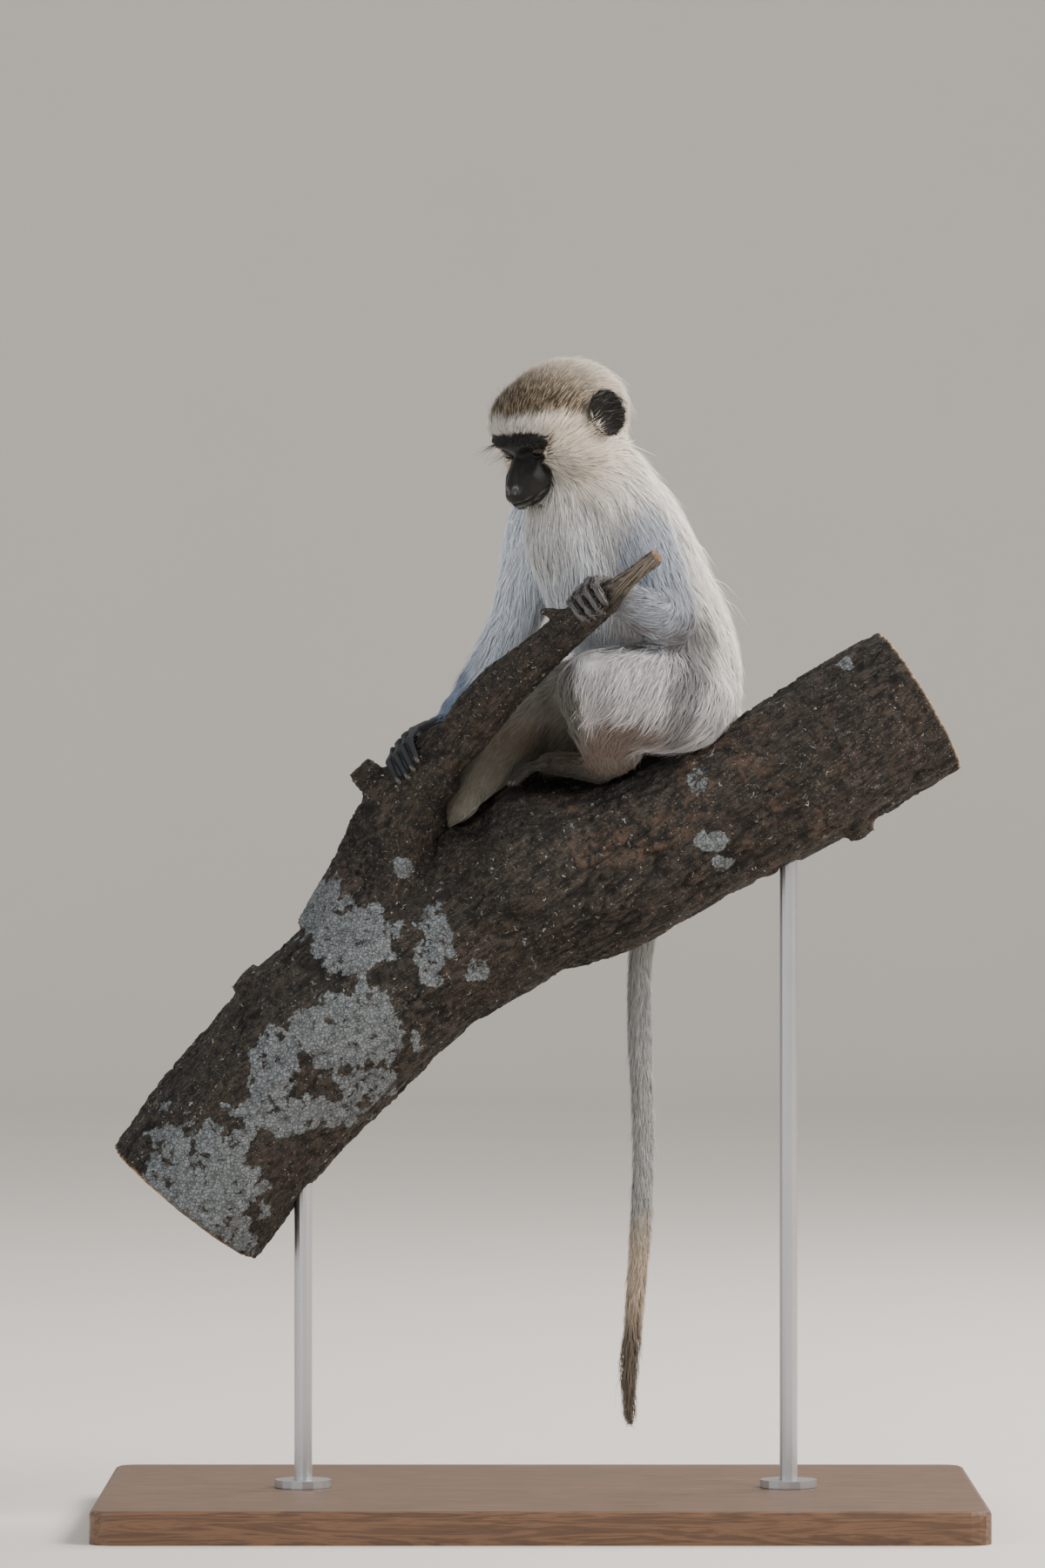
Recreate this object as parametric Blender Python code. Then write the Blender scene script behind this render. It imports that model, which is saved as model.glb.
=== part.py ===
"""A young vervet monkey, life size, sitting on a forked limb and holding its side branch.

The monkey is a still museum model. Every fleshy part is its own solid, out to the tips of the coat, and the
parts meet face to face. The limb is cut at both ends and stands on a flat base with two short rods.

Frame: +X to the monkey's tail side along the limb, +Z up, and the front of the display faces -Y.
The origin is at the middle of the base's underside. Sizes below are in millimetres.
"""

import math

import bmesh
import bpy
import numpy as np
from mathutils import Matrix, Vector

MM = 0.001
GAP = 0.3  # between solids that touch

# ---------------------------------------------------------------- driving sizes

BASE_LENGTH, BASE_DEPTH, BASE_HEIGHT = 584.0, 340.0, 22.0
BASE_CORNER, BASE_EDGE = 14.0, 3.0
ROD_RADIUS, ROD_SOCKET_DEPTH = 6.0, 26.0
SOCKET_REACH = 90.0  # how far the drill reaches back below a rod's top
FLANGE_RADIUS, FLANGE_HEIGHT = 19.0, 5.0
ROD_PLACES = {"left": -158.0, "right": 166.0}  # X of each rod, under the limb's middle line

TRUNK_YAW = math.radians(35.0)  # how far the chest is turned from -X to the front
HEAD_YAW = math.radians(45.0)
HEAD_PITCH = math.radians(35.0)  # the face looks down
HEAD_CENTRE = Vector((10.0, -20.0, 730.0))

EYE_RADIUS = 7.4
EYE_PLACE = Vector((30.6, 12.4, 2.5))  # forward, to the side and up from the middle of the head
EAR_PLACE = Vector((-4.0, 48.0, 8.0))
EAR_HALF_HEIGHT, EAR_HALF_WIDTH, EAR_HALF_THICKNESS = 17.5, 13.5, 1.9
EAR_CUP = 4.0  # how deep the ear is dished

FINGER_COUNT = 4
FINGER_RADIUS, FINGER_SPACING = 3.6, 7.4
THUMB_RADIUS = 3.3
PALM_BREADTH, PALM_DEPTH = 12.5, 6.6  # half sizes
TOE_RADIUS = 4.4
HAND_LEFT_PLACE, HAND_RIGHT_PLACE = 0.84, 0.366  # shares of the length of the side branch

# The middle line of the limb and of its side branch: x, y, z and radius.
LIMB = [
    (-238.0, 4.0, 212.0, 62.0),
    (-206.0, 2.0, 252.0, 62.0),
    (-168.0, 0.0, 300.0, 63.0),
    (-122.0, 0.0, 345.0, 64.0),
    (-74.0, 0.0, 376.0, 56.0),
    (-38.0, 0.0, 399.0, 57.0),
    (-10.0, 0.0, 423.5, 65.5),
    (18.0, 0.0, 431.5, 63.5),
    (52.0, 0.0, 440.0, 57.0),
    (104.0, 0.0, 465.5, 55.0),
    (150.0, 0.0, 487.0, 53.0),
    (200.0, 0.0, 515.0, 55.0),
    (254.0, 3.0, 547.0, 55.0),
]
BRANCH = [
    (-124.0, 0.0, 386.0, 44.0),
    (-110.0, -3.0, 427.0, 34.0),
    (-99.0, -7.0, 462.0, 29.0),
    (-86.0, -14.0, 488.0, 23.5),
    (-68.0, -21.0, 509.0, 20.0),
    (-51.0, -31.0, 523.5, 17.5),
    (-43.0, -36.0, 535.0, 18.5),
    (-22.0, -50.0, 558.0, 17.6),
    (3.0, -67.0, 579.0, 14.2),
    (25.0, -80.0, 599.0, 13.0),
    (41.0, -89.0, 611.0, 11.5),
    (54.0, -97.0, 622.5, 7.4),
    (77.0, -108.0, 640.5, 6.4),
]
# Knots and broken stubs on the wood: place, direction, length and radius.
LIMB_KNOTS = [
    ((208.0, -8.0, 470.0), (0.45, -0.2, -0.87), 16.0, 13.0),
    ((-172.0, -10.0, 340.0), (-0.72, -0.2, 0.66), 36.0, 15.0),
]
BRANCH_KNOTS = [
    ((-96.0, -12.0, 477.0), (-0.68, -0.1, 0.73), 36.0, 13.0),
    ((19.0, -78.0, 602.0), (-0.9, -0.1, 0.12), 20.0, 4.0),
]

# Fleshy parts: x, y, z, half width across the body and half depth, out to the tips of the coat.
TRUNK = [
    (87.0, 6.0, 530.0, 35.0, 35.0),
    (91.0, 6.0, 552.0, 47.0, 45.0),
    (85.0, 4.0, 580.0, 48.0, 48.0),
    (72.0, 2.0, 612.0, 45.0, 48.0),
    (59.0, 0.0, 643.0, 45.0, 47.0),
    (47.0, -3.0, 668.0, 43.0, 43.0),
    (33.0, -8.0, 690.0, 36.0, 38.0),
]
CHEST = [
    (12.0, -20.0, 684.0, 24.0, 20.0),
    (14.0, -20.0, 655.0, 30.0, 24.0),
    (30.0, -18.0, 615.0, 32.0, 24.0),
    (48.0, -12.0, 580.0, 30.0, 22.0),
]
NECK = [
    (38.0, -6.0, 677.0, 36.0, 37.0),
    (28.0, -10.0, 702.0, 35.0, 34.5),
    (22.0, -14.0, 722.0, 34.0, 34.0),
]
UPPER_ARM_LEFT = [
    (62.0, -24.0, 666.0, 23.0, 24.0),
    (74.0, -35.0, 634.0, 21.5, 22.5),
    (87.0, -46.0, 602.0, 17.0, 18.5),
]
FOREARM_LEFT = [
    (88.0, -47.0, 598.0, 17.0, 18.0),
    (72.0, -62.0, 603.0, 15.5, 16.0),
    (53.0, -75.0, 614.0, 10.5, 11.0),
]
UPPER_ARM_RIGHT = [
    (4.0, 14.0, 676.0, 22.0, 22.0),
    (-1.0, 17.0, 657.0, 24.0, 24.0),
    (-8.0, 19.0, 625.0, 21.0, 21.0),
    (-19.0, 18.0, 594.0, 17.0, 17.0),
]
FOREARM_RIGHT = [
    (-22.0, 17.0, 591.0, 16.0, 16.5),
    (-37.0, 17.0, 566.0, 13.5, 14.0),
    (-58.0, 17.0, 540.0, 9.5, 10.5),
]
THIGH_LEFT = [
    (99.0, -22.0, 543.0, 34.0, 34.0),
    (66.0, -47.0, 550.0, 36.0, 31.0),
    (32.0, -67.0, 557.0, 25.0, 25.0),
]
SHIN_LEFT = [
    (30.0, -66.0, 556.0, 22.0, 23.0),
    (41.0, -48.0, 532.0, 19.0, 22.0),
    (50.0, -28.0, 508.0, 14.0, 20.0),
]
THIGH_RIGHT = [
    (84.0, 34.0, 546.0, 33.0, 33.0),
    (42.0, 28.0, 545.0, 34.0, 31.0),
    (-2.0, 20.0, 544.0, 28.0, 23.0),
]
SHIN_RIGHT = [
    (-4.0, 16.0, 544.0, 22.0, 23.0),
    (-25.0, 9.0, 513.0, 18.0, 21.0),
    (-46.0, 2.0, 482.0, 16.0, 17.5),
    (-54.0, 4.0, 467.0, 14.0, 15.0),
]
TAIL = [
    (112.0, 22.0, 547.0, 15.0, 15.0),
    (124.0, 47.0, 536.0, 13.5, 13.5),
    (116.0, 69.0, 502.0, 11.5, 11.5),
    (98.0, 73.0, 456.0, 10.3, 10.3),
    (76.0, 70.0, 412.0, 9.6, 9.6),
    (68.0, 66.0, 370.0, 9.2, 9.2),
    (68.0, 62.0, 317.0, 8.8, 8.8),
    (70.0, 60.0, 259.0, 8.3, 8.3),
    (69.0, 58.0, 200.0, 7.9, 7.9),
    (64.5, 57.0, 142.0, 7.5, 7.5),
    (60.0, 56.0, 92.0, 7.3, 7.3),
    (61.0, 56.0, 62.0, 4.6, 4.6),
]
TAIL_CUTS = (0.24, 0.5, 0.75)  # shares of the length where one tail solid ends and the next starts

# The head as overlapping forms: middle (forward, side, up) and half axes, out to the tips of the coat.
HEAD_FORMS = {
    "cranium": ((-9.0, 0.0, -1.0), (46.0, 45.0, 39.0)),
    "forehead": ((8.0, 0.0, 13.5), (36.0, 39.0, 23.0)),
    "brow": ((26.0, 0.0, 9.5), (14.0, 24.0, 8.0)),
    "orbit_left": ((22.0, 15.0, 2.0), (14.0, 12.0, 11.0)),
    "orbit_right": ((22.0, -15.0, 2.0), (14.0, 12.0, 11.0)),
    "face": ((18.0, 0.0, -6.0), (18.0, 18.0, 17.0)),
    "throat": ((6.0, 0.0, -24.0), (26.0, 24.0, 18.0)),
    "cheek_left": ((7.0, 22.0, -14.0), (25.0, 22.0, 21.0)),
    "cheek_right": ((7.0, -22.0, -14.0), (25.0, 22.0, 21.0)),
}
# The muzzle: forward and up of the middle line, half width and half depth.
MUZZLE = [
    (16.0, -7.0, 15.0, 15.0),
    (32.0, -11.5, 15.5, 16.0),
    (44.0, -17.0, 16.0, 15.0),
    (51.0, -20.5, 13.5, 12.5),
]
HEAD_BLEND = 2.2  # how softly the forms run into each other

MATERIALS = {
    "coat": ((0.62, 0.60, 0.57), 0.85, 0.0),
    "crown": ((0.33, 0.29, 0.23), 0.85, 0.0),
    "dark_skin": ((0.05, 0.05, 0.055), 0.5, 0.0),
    "eye": ((0.07, 0.04, 0.02), 0.1, 0.0),
    "bark": ((0.11, 0.08, 0.065), 0.9, 0.0),
    "base_wood": ((0.10, 0.06, 0.04), 0.45, 0.0),
    "steel": ((0.30, 0.30, 0.31), 0.35, 1.0),
}


# ---------------------------------------------------------------- scene helpers


def clear_scene():
    for obj in list(bpy.data.objects):
        bpy.data.objects.remove(obj)


def material(name):
    """The named material, made on first use."""
    if name in bpy.data.materials:
        return bpy.data.materials[name]
    colour, roughness, metallic = MATERIALS[name]
    made = bpy.data.materials.new(name)
    made.use_nodes = True
    shader = made.node_tree.nodes["Principled BSDF"]
    shader.inputs["Base Color"].default_value = (*colour, 1.0)
    shader.inputs["Roughness"].default_value = roughness
    shader.inputs["Metallic"].default_value = metallic
    return made


def add_object(name, mesh, finish=None):
    obj = bpy.data.objects.new(name, mesh)
    bpy.context.scene.collection.objects.link(obj)
    if finish:
        mesh.materials.clear()
        mesh.materials.append(material(finish))
    return obj


def mesh_of(bm, name):
    """Closes a bmesh into a mesh in metres, in triangles that point out, so that its shell matches it."""
    bmesh.ops.triangulate(bm, faces=bm.faces)
    bmesh.ops.recalc_face_normals(bm, faces=bm.faces)
    if bm.calc_volume(signed=True) < 0:
        bmesh.ops.reverse_faces(bm, faces=bm.faces)
    bmesh.ops.scale(bm, vec=(MM, MM, MM), verts=bm.verts)
    mesh = bpy.data.meshes.new(name)
    bm.to_mesh(mesh)
    bm.free()
    return mesh


# ---------------------------------------------------------------- shapes


def catmull_rom(points, per_span):
    """A smooth run through the points with per_span steps from each to the next."""
    pts = np.array(points, float)
    ends = np.vstack([2 * pts[0] - pts[1], pts, 2 * pts[-1] - pts[-2]])
    run = []
    for i in range(1, len(ends) - 2):
        p0, p1, p2, p3 = ends[i - 1 : i + 3]
        for t in np.linspace(0, 1, per_span, endpoint=False):
            run.append(
                0.5 * (2 * p1 + (p2 - p0) * t + (2 * p0 - 5 * p1 + 4 * p2 - p3) * t**2)
                + 0.5 * (3 * p1 - p0 - 3 * p2 + p3) * t**3
            )
    run.append(pts[-1])
    return np.array(run)


def domed(run, steps, at_start):
    """The extra rings that round off one end of a run of (x, y, z, half width, half depth)."""
    end, inner = (run[0], run[1]) if at_start else (run[-1], run[-2])
    out = end[:3] - inner[:3]
    out = out / np.linalg.norm(out)
    reach = min(end[3], end[4]) * 0.85
    rings = []
    for k in range(1, steps + 1):
        angle = math.pi / 2 * k / (steps + 0.35)
        rings.append([*(end[:3] + out * reach * math.sin(angle)), *(end[3:] * math.cos(angle))])
    return np.array(rings[::-1] if at_start else rings)


def tube(name, stations, finish, sides=10, per_span=2, side=(0.0, 1.0, 0.0), dome=2, relief=None):
    """A solid of elliptical rings along the stations. side is the direction of a ring's half width.

    dome is the number of rings that round off each end, or 0 for the flat ends of sawn wood. relief, if
    given, takes the angle round a ring and the length so far, and gives a factor on the radius there.
    """
    run = catmull_rom(stations, per_span)
    if run.shape[1] == 4:
        run = np.hstack([run, run[:, 3:4]])
    if dome:
        run = np.vstack([domed(run, dome, True), run, domed(run, dome, False)])
    centres = [Vector(row[:3]) for row in run]
    bm = bmesh.new()
    rings, travelled = [], 0.0
    for i, row in enumerate(run):
        before, after = centres[max(i - 1, 0)], centres[min(i + 1, len(run) - 1)]
        travelled += (centres[i] - before).length
        along = (after - before).normalized()
        across = Vector(side) - along * along.dot(Vector(side))
        across.normalize()
        deep = along.cross(across)
        ring = []
        for k in range(sides):
            angle = 2 * math.pi * k / sides
            factor = relief(angle, travelled) if relief else 1.0
            offset = across * (row[3] * math.cos(angle)) + deep * (row[4] * math.sin(angle))
            ring.append(bm.verts.new(centres[i] + offset * factor))
        rings.append(ring)
    for lower, upper in zip(rings, rings[1:]):
        for k in range(sides):
            n = (k + 1) % sides
            bm.faces.new((lower[k], lower[n], upper[n], upper[k]))
    bm.faces.new(rings[0][::-1])
    bm.faces.new(rings[-1])
    return add_object(name, mesh_of(bm, name), finish)


def ball(name, centre, radius, finish):
    bm = bmesh.new()
    bmesh.ops.create_uvsphere(bm, u_segments=11, v_segments=7, radius=radius)
    bmesh.ops.translate(bm, vec=centre, verts=bm.verts)
    return add_object(name, mesh_of(bm, name), finish)


def rod(name, foot, top, radius, finish, sides=16):
    """A straight round bar between two points."""
    foot, top = Vector(foot), Vector(top)
    bm = bmesh.new()
    bmesh.ops.create_cone(
        bm, cap_ends=True, segments=sides, radius1=radius, radius2=radius, depth=(top - foot).length
    )
    turn = (top - foot).to_track_quat("Z", "Y").to_matrix().to_4x4()
    bmesh.ops.transform(bm, matrix=Matrix.Translation((foot + top) / 2) @ turn, verts=bm.verts)
    return add_object(name, mesh_of(bm, name), finish)


# ---------------------------------------------------------------- joining and cutting


SOLVERS = (("EXACT", False), ("EXACT", True), ("MANIFOLD", False))  # in the order they are tried
MERGES = (0.02 * MM, 0.004 * MM, 0.0005 * MM)  # distances within which the points of a cut are merged


def volume(mesh):
    bm = bmesh.new()
    bm.from_mesh(mesh)
    amount = bm.calc_volume(signed=True)
    closed = all(part.is_manifold for part in [*bm.edges, *bm.verts])
    bm.free()
    return amount if closed else -1.0


def largest_body(mesh, merge):
    """A copy of the mesh with its doubles merged, its slivers dropped and only its largest body kept."""
    bm = bmesh.new()
    bm.from_mesh(mesh)
    bmesh.ops.remove_doubles(bm, verts=bm.verts, dist=merge)
    bmesh.ops.dissolve_degenerate(bm, edges=bm.edges, dist=merge)
    islands, left = [], set(bm.verts)
    while left:
        found, front = set(), [left.pop()]
        while front:
            vert = front.pop()
            found.add(vert)
            for edge in vert.link_edges:
                other = edge.other_vert(vert)
                if other in left:
                    left.discard(other)
                    front.append(other)
        islands.append(found)
    islands.sort(key=len)
    bmesh.ops.delete(bm, geom=[v for island in islands[:-1] for v in island], context="VERTS")
    body = mesh.copy()
    bm.to_mesh(body)
    bm.free()
    return body


def boolean(obj, other, operation):
    """Unites or cuts obj with other, and tries the next solver where the volume can't be right."""
    before, change = volume(obj.data), volume(other.data)
    low, high = (max(before, change), before + change) if operation == "UNION" else (before - change, before)
    for solver, use_self in SOLVERS:
        modifier = obj.modifiers.new(operation.lower(), "BOOLEAN")
        modifier.operation = operation
        modifier.solver = solver
        modifier.use_self = use_self
        modifier.object = other
        graph = bpy.context.evaluated_depsgraph_get()
        mesh = bpy.data.meshes.new_from_object(obj.evaluated_get(graph))
        obj.modifiers.clear()
        for merge in MERGES:
            body = largest_body(mesh, merge)
            if low * 0.99 <= volume(body) <= high * 1.01 and volume(body) > 0:
                obj.data = body
                return
    raise RuntimeError(f"{obj.name} could not be fitted to {other.name}")


SHELLS = {}  # for each finished solid, its pieces before any cut, swollen by the gap


def shell_of(piece):
    """A copy of a piece swollen by the gap, to cut its neighbours with."""
    bm = bmesh.new()
    bm.from_mesh(piece.data)
    bm.normal_update()
    moves = [(vert, vert.normal * GAP * MM) for vert in bm.verts]
    for vert, move in moves:
        vert.co += move
    mesh = bpy.data.meshes.new("shell")
    bm.to_mesh(mesh)
    bm.free()
    shell = add_object("shell", mesh)
    shell.hide_render = True
    shell.display_type = "WIRE"
    return shell


def join(name, pieces):
    """One solid from overlapping pieces, which are used up. Its shells are kept for its neighbours."""
    SHELLS[name] = [shell_of(piece) for piece in pieces]
    body = pieces[0]
    for piece in pieces[1:]:
        boolean(body, piece, "UNION")
        bpy.data.objects.remove(piece)
    body.name = name
    return body


def apart(first, second):
    """Whether the boxes round two objects stand clear of each other."""
    a = np.array([vert.co[:] for vert in first.data.vertices])
    b = np.array([vert.co[:] for vert in second.data.vertices])
    return bool(np.any(a.max(0) < b.min(0)) or np.any(b.max(0) < a.min(0)))


def fit(name, pieces, neighbours=()):
    """Joins the pieces into one solid and cuts away what the named neighbours already fill."""
    body = join(name, pieces)
    for neighbour in neighbours:
        for shell in SHELLS[neighbour]:
            if not apart(body, shell):
                boolean(body, shell, "DIFFERENCE")
    return body


def drop_shells():
    for shells in SHELLS.values():
        for shell in shells:
            bpy.data.objects.remove(shell)
    SHELLS.clear()


# ---------------------------------------------------------------- stand and perch


def bark(phase, strength):
    """The slow ridges and hollows of the wood, as a factor on its radius."""

    def relief(angle, travelled):
        turn = travelled / 46.0 + phase
        ridges = 0.5 * math.sin(3 * angle + 1.1 * turn) + 0.35 * math.sin(5 * angle - 1.7 * turn)
        swell = 0.45 * math.sin(2.3 * turn + 1.3 * math.sin(angle)) + 0.3 * math.sin(angle + 3.1 * turn)
        return 1.0 + strength * (ridges + swell)

    return relief


def knots(rows):
    """Short broken stubs that stand out of the wood."""
    made = []
    for place, towards, length, radius in rows:
        start, out = Vector(place), Vector(towards).normalized()
        stations = [
            (*start, radius * 1.25),
            (*(start + out * length * 0.55), radius),
            (*(start + out * length), radius * 0.86),
        ]
        relief = bark(radius, 0.05)
        made.append(tube("knot", stations, "bark", sides=6, per_span=1, dome=0, relief=relief))
    return made


def perch():
    limb = tube("limb", LIMB, "bark", sides=12, side=(0, -1, 0), dome=0, relief=bark(0.0, 0.03))
    branch = tube("branch", BRANCH, "bark", per_span=1, side=(0, -1, 0), dome=0, relief=bark(2.0, 0.035))
    limb = fit("perch_limb", [limb, *knots(LIMB_KNOTS)])
    fit("perch_branch", [branch, *knots(BRANCH_KNOTS)], ["perch_limb"])
    return limb


def limb_underside(x):
    """Height of the limb's middle line at x, less its radius measured straight down."""
    for (x0, _, z0, r0), (x1, _, z1, r1) in zip(LIMB, LIMB[1:]):
        if x0 <= x <= x1:
            t = (x - x0) / (x1 - x0)
            slope = math.atan2(z1 - z0, x1 - x0)
            return z0 + t * (z1 - z0) - (r0 + t * (r1 - r0)) / math.cos(slope)
    raise ValueError("no limb above that place")


def stand(limb):
    """A flat base with two rods, each in a flange below and a drilled socket in the limb above."""
    bm = bmesh.new()
    bmesh.ops.create_cube(bm, size=1.0)
    place = Matrix.Translation((0, 0, BASE_HEIGHT / 2)) @ Matrix.Diagonal(
        (BASE_LENGTH, BASE_DEPTH, BASE_HEIGHT, 1)
    )
    bmesh.ops.transform(bm, matrix=place, verts=bm.verts)
    upright = [e for e in bm.edges if abs(e.verts[0].co.z - e.verts[1].co.z) > 1]
    bmesh.ops.bevel(bm, geom=upright, offset=BASE_CORNER, segments=4, profile=0.5, affect="EDGES")
    rim = [e for e in bm.edges if all(v.co.z > BASE_HEIGHT - 0.1 for v in e.verts)]
    bmesh.ops.bevel(bm, geom=rim, offset=BASE_EDGE, segments=2, profile=0.5, affect="EDGES")
    add_object("stand_base", mesh_of(bm, "stand_base"), "base_wood")

    for label, x in ROD_PLACES.items():
        floor = BASE_HEIGHT + GAP
        top = limb_underside(x) + ROD_SOCKET_DEPTH
        socket = rod("socket", (x, 0, top - SOCKET_REACH), (x, 0, top + GAP), ROD_RADIUS + GAP, "steel")
        boolean(limb, socket, "DIFFERENCE")
        bpy.data.objects.remove(socket)
        bar = rod("bar", (x, 0, floor), (x, 0, top), ROD_RADIUS, "steel")
        flange = rod("flange", (x, 0, floor), (x, 0, floor + FLANGE_HEIGHT), FLANGE_RADIUS, "steel", 16)
        fit(f"stand_rod_{label}", [bar])
        fit(f"stand_flange_{label}", [flange], [f"stand_rod_{label}"])


# ---------------------------------------------------------------- head


def turned_axes(yaw, pitch):
    """Forward, left and up of a body part that faces -X, turned to the front by yaw and down by pitch."""
    forward = Vector((-math.cos(yaw) * math.cos(pitch), -math.sin(yaw) * math.cos(pitch), -math.sin(pitch)))
    left = Vector((math.sin(yaw), -math.cos(yaw), 0.0))
    return forward, left, forward.cross(left)


HEAD_AXES = turned_axes(HEAD_YAW, HEAD_PITCH)


def on_head(local):
    """A point given forward, to the left and up from the head's middle, in the frame."""
    forward, left, up = HEAD_AXES
    return HEAD_CENTRE + forward * local[0] + left * local[1] + up * local[2]


def head_reach(direction):
    """How far the head's surface lies from its middle: a soft maximum over its forms."""
    reaches = []
    for centre, axes in HEAD_FORMS.values():
        c, s = np.array(centre), np.array(axes)
        a = float(np.sum((direction / s) ** 2))
        b = float(np.sum(direction * c / s**2))
        inside = b * b - a * (float(np.sum((c / s) ** 2)) - 1.0)
        if inside > 0:
            reaches.append((b + math.sqrt(inside)) / a)
    longest = max(reaches)
    total = sum(math.exp((r - longest) / HEAD_BLEND) for r in reaches)
    return longest + HEAD_BLEND * math.log(total)


def head_form():
    """The head with its face and muzzle. The poles of the grid lie under the ears."""
    bm = bmesh.new()
    bmesh.ops.create_uvsphere(bm, u_segments=18, v_segments=12, radius=1.0)
    for vert in bm.verts:
        direction = np.array((vert.co.x, vert.co.z, vert.co.y))
        vert.co = on_head(direction * head_reach(direction))
    return add_object("head", mesh_of(bm, "head"), "coat")


def muzzle_form():
    """The bare muzzle, bulging round the lips."""
    left = HEAD_AXES[1]
    stations = [(*on_head((ahead, 0.0, up)), width, depth) for ahead, up, width, depth in MUZZLE]
    return tube("muzzle", stations, "coat", per_span=1, side=left)


def ear_form(sign):
    """A thin dished ear that stands out from the head and faces a little forward."""
    forward, left, up = HEAD_AXES
    out = (left * sign * 0.86 + forward * 0.42 + up * 0.10).normalized()
    height = (up - forward * 0.10 - out * (up - forward * 0.10).dot(out)).normalized()
    width = height.cross(out)
    middle = on_head((EAR_PLACE.x, EAR_PLACE.y * sign, EAR_PLACE.z))
    bm = bmesh.new()
    bmesh.ops.create_uvsphere(bm, u_segments=14, v_segments=6, radius=1.0)
    for vert in bm.verts:
        x, y, z = vert.co
        rim = x * x + y * y
        dish = EAR_CUP * (rim - 0.5)
        vert.co = (
            middle
            + width * (x * EAR_HALF_WIDTH)
            + height * (y * EAR_HALF_HEIGHT)
            + out * (z * EAR_HALF_THICKNESS + dish)
        )
    return add_object("ear", mesh_of(bm, "ear"), "dark_skin")


# ---------------------------------------------------------------- hands and feet


def at_share(stations, share):
    """The point, direction and radius at a share of the length of a run."""
    run = catmull_rom(stations, 12)
    steps = np.linalg.norm(np.diff(run[:, :3], axis=0), axis=1)
    reach = np.concatenate([[0.0], np.cumsum(steps)]) / steps.sum()
    here = np.array([np.interp(share, reach, run[:, k]) for k in range(run.shape[1])])
    ahead = np.array([np.interp(min(share + 0.03, 1.0), reach, run[:, k]) for k in range(3)])
    behind = np.array([np.interp(max(share - 0.03, 0.0), reach, run[:, k]) for k in range(3)])
    return Vector(here[:3]), Vector(ahead - behind).normalized(), float(here[3])


def gripping_hand(share, wrist, over, knuckle_angle, tip_angle, lean):
    """The pieces of a hand closed round the side branch.

    share is where along the branch it grips. over is the side of the branch that the knuckles lie on, and
    angles, in degrees, count from there towards the fingertips. lean slides the tips along the branch.
    """
    centre, along, radius = at_share(BRANCH, share)
    over = Vector(over)
    over = (over - along * over.dot(along)).normalized()
    towards = along.cross(over)
    if towards.y > 0:
        towards.negate()

    def around(angle, out, shift):
        a = math.radians(angle)
        return centre + (over * math.cos(a) + towards * math.sin(a)) * (radius + out) + along * shift

    pieces = []
    for i in range(FINGER_COUNT):
        shift = (i - (FINGER_COUNT - 1) / 2) * FINGER_SPACING
        reach = 1.0 - 0.06 * abs(i - 1.4)
        stations = []
        for bend, thickness in ((0.0, 1.15), (0.5, 1.1), (1.0, 0.9)):
            angle = knuckle_angle + (tip_angle - knuckle_angle) * bend * reach
            place = around(angle, FINGER_RADIUS * 0.85, shift * (1 - 0.12 * bend) + lean * bend)
            stations.append((*place, FINGER_RADIUS * thickness))
        pieces.append(tube("finger", stations, "dark_skin", sides=5, per_span=1, side=along, dome=1))
    thumb = []
    for k in range(3):
        place = around(knuckle_angle - 42 - 40 * k, THUMB_RADIUS * 0.8, -4.0 - 5.0 * k)
        thumb.append((*place, THUMB_RADIUS))
    pieces.append(tube("thumb", thumb, "dark_skin", sides=5, per_span=1, side=along, dome=1))
    wrist = Vector(wrist)
    knuckles = around(knuckle_angle, PALM_DEPTH * 0.6, 0.0)
    back_of_hand = wrist * 0.45 + knuckles * 0.55 + over * 2.0
    ridge = [
        (*around(knuckle_angle, PALM_DEPTH * 0.6, shift * FINGER_SPACING), PALM_DEPTH * 0.72)
        for shift in (-1.4, 0.0, 1.4)
    ]
    palm = [
        (*wrist, PALM_BREADTH * 0.66, PALM_DEPTH * 1.1),
        (*back_of_hand, PALM_BREADTH * 0.9, PALM_DEPTH),
        (*knuckles, PALM_BREADTH, PALM_DEPTH * 0.8),
    ]
    return [
        tube("palm", palm, "dark_skin", sides=8, per_span=1, side=along),
        tube("ridge", ridge, "dark_skin", sides=6, per_span=1, side=over, dome=1),
        *pieces,
    ]


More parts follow.
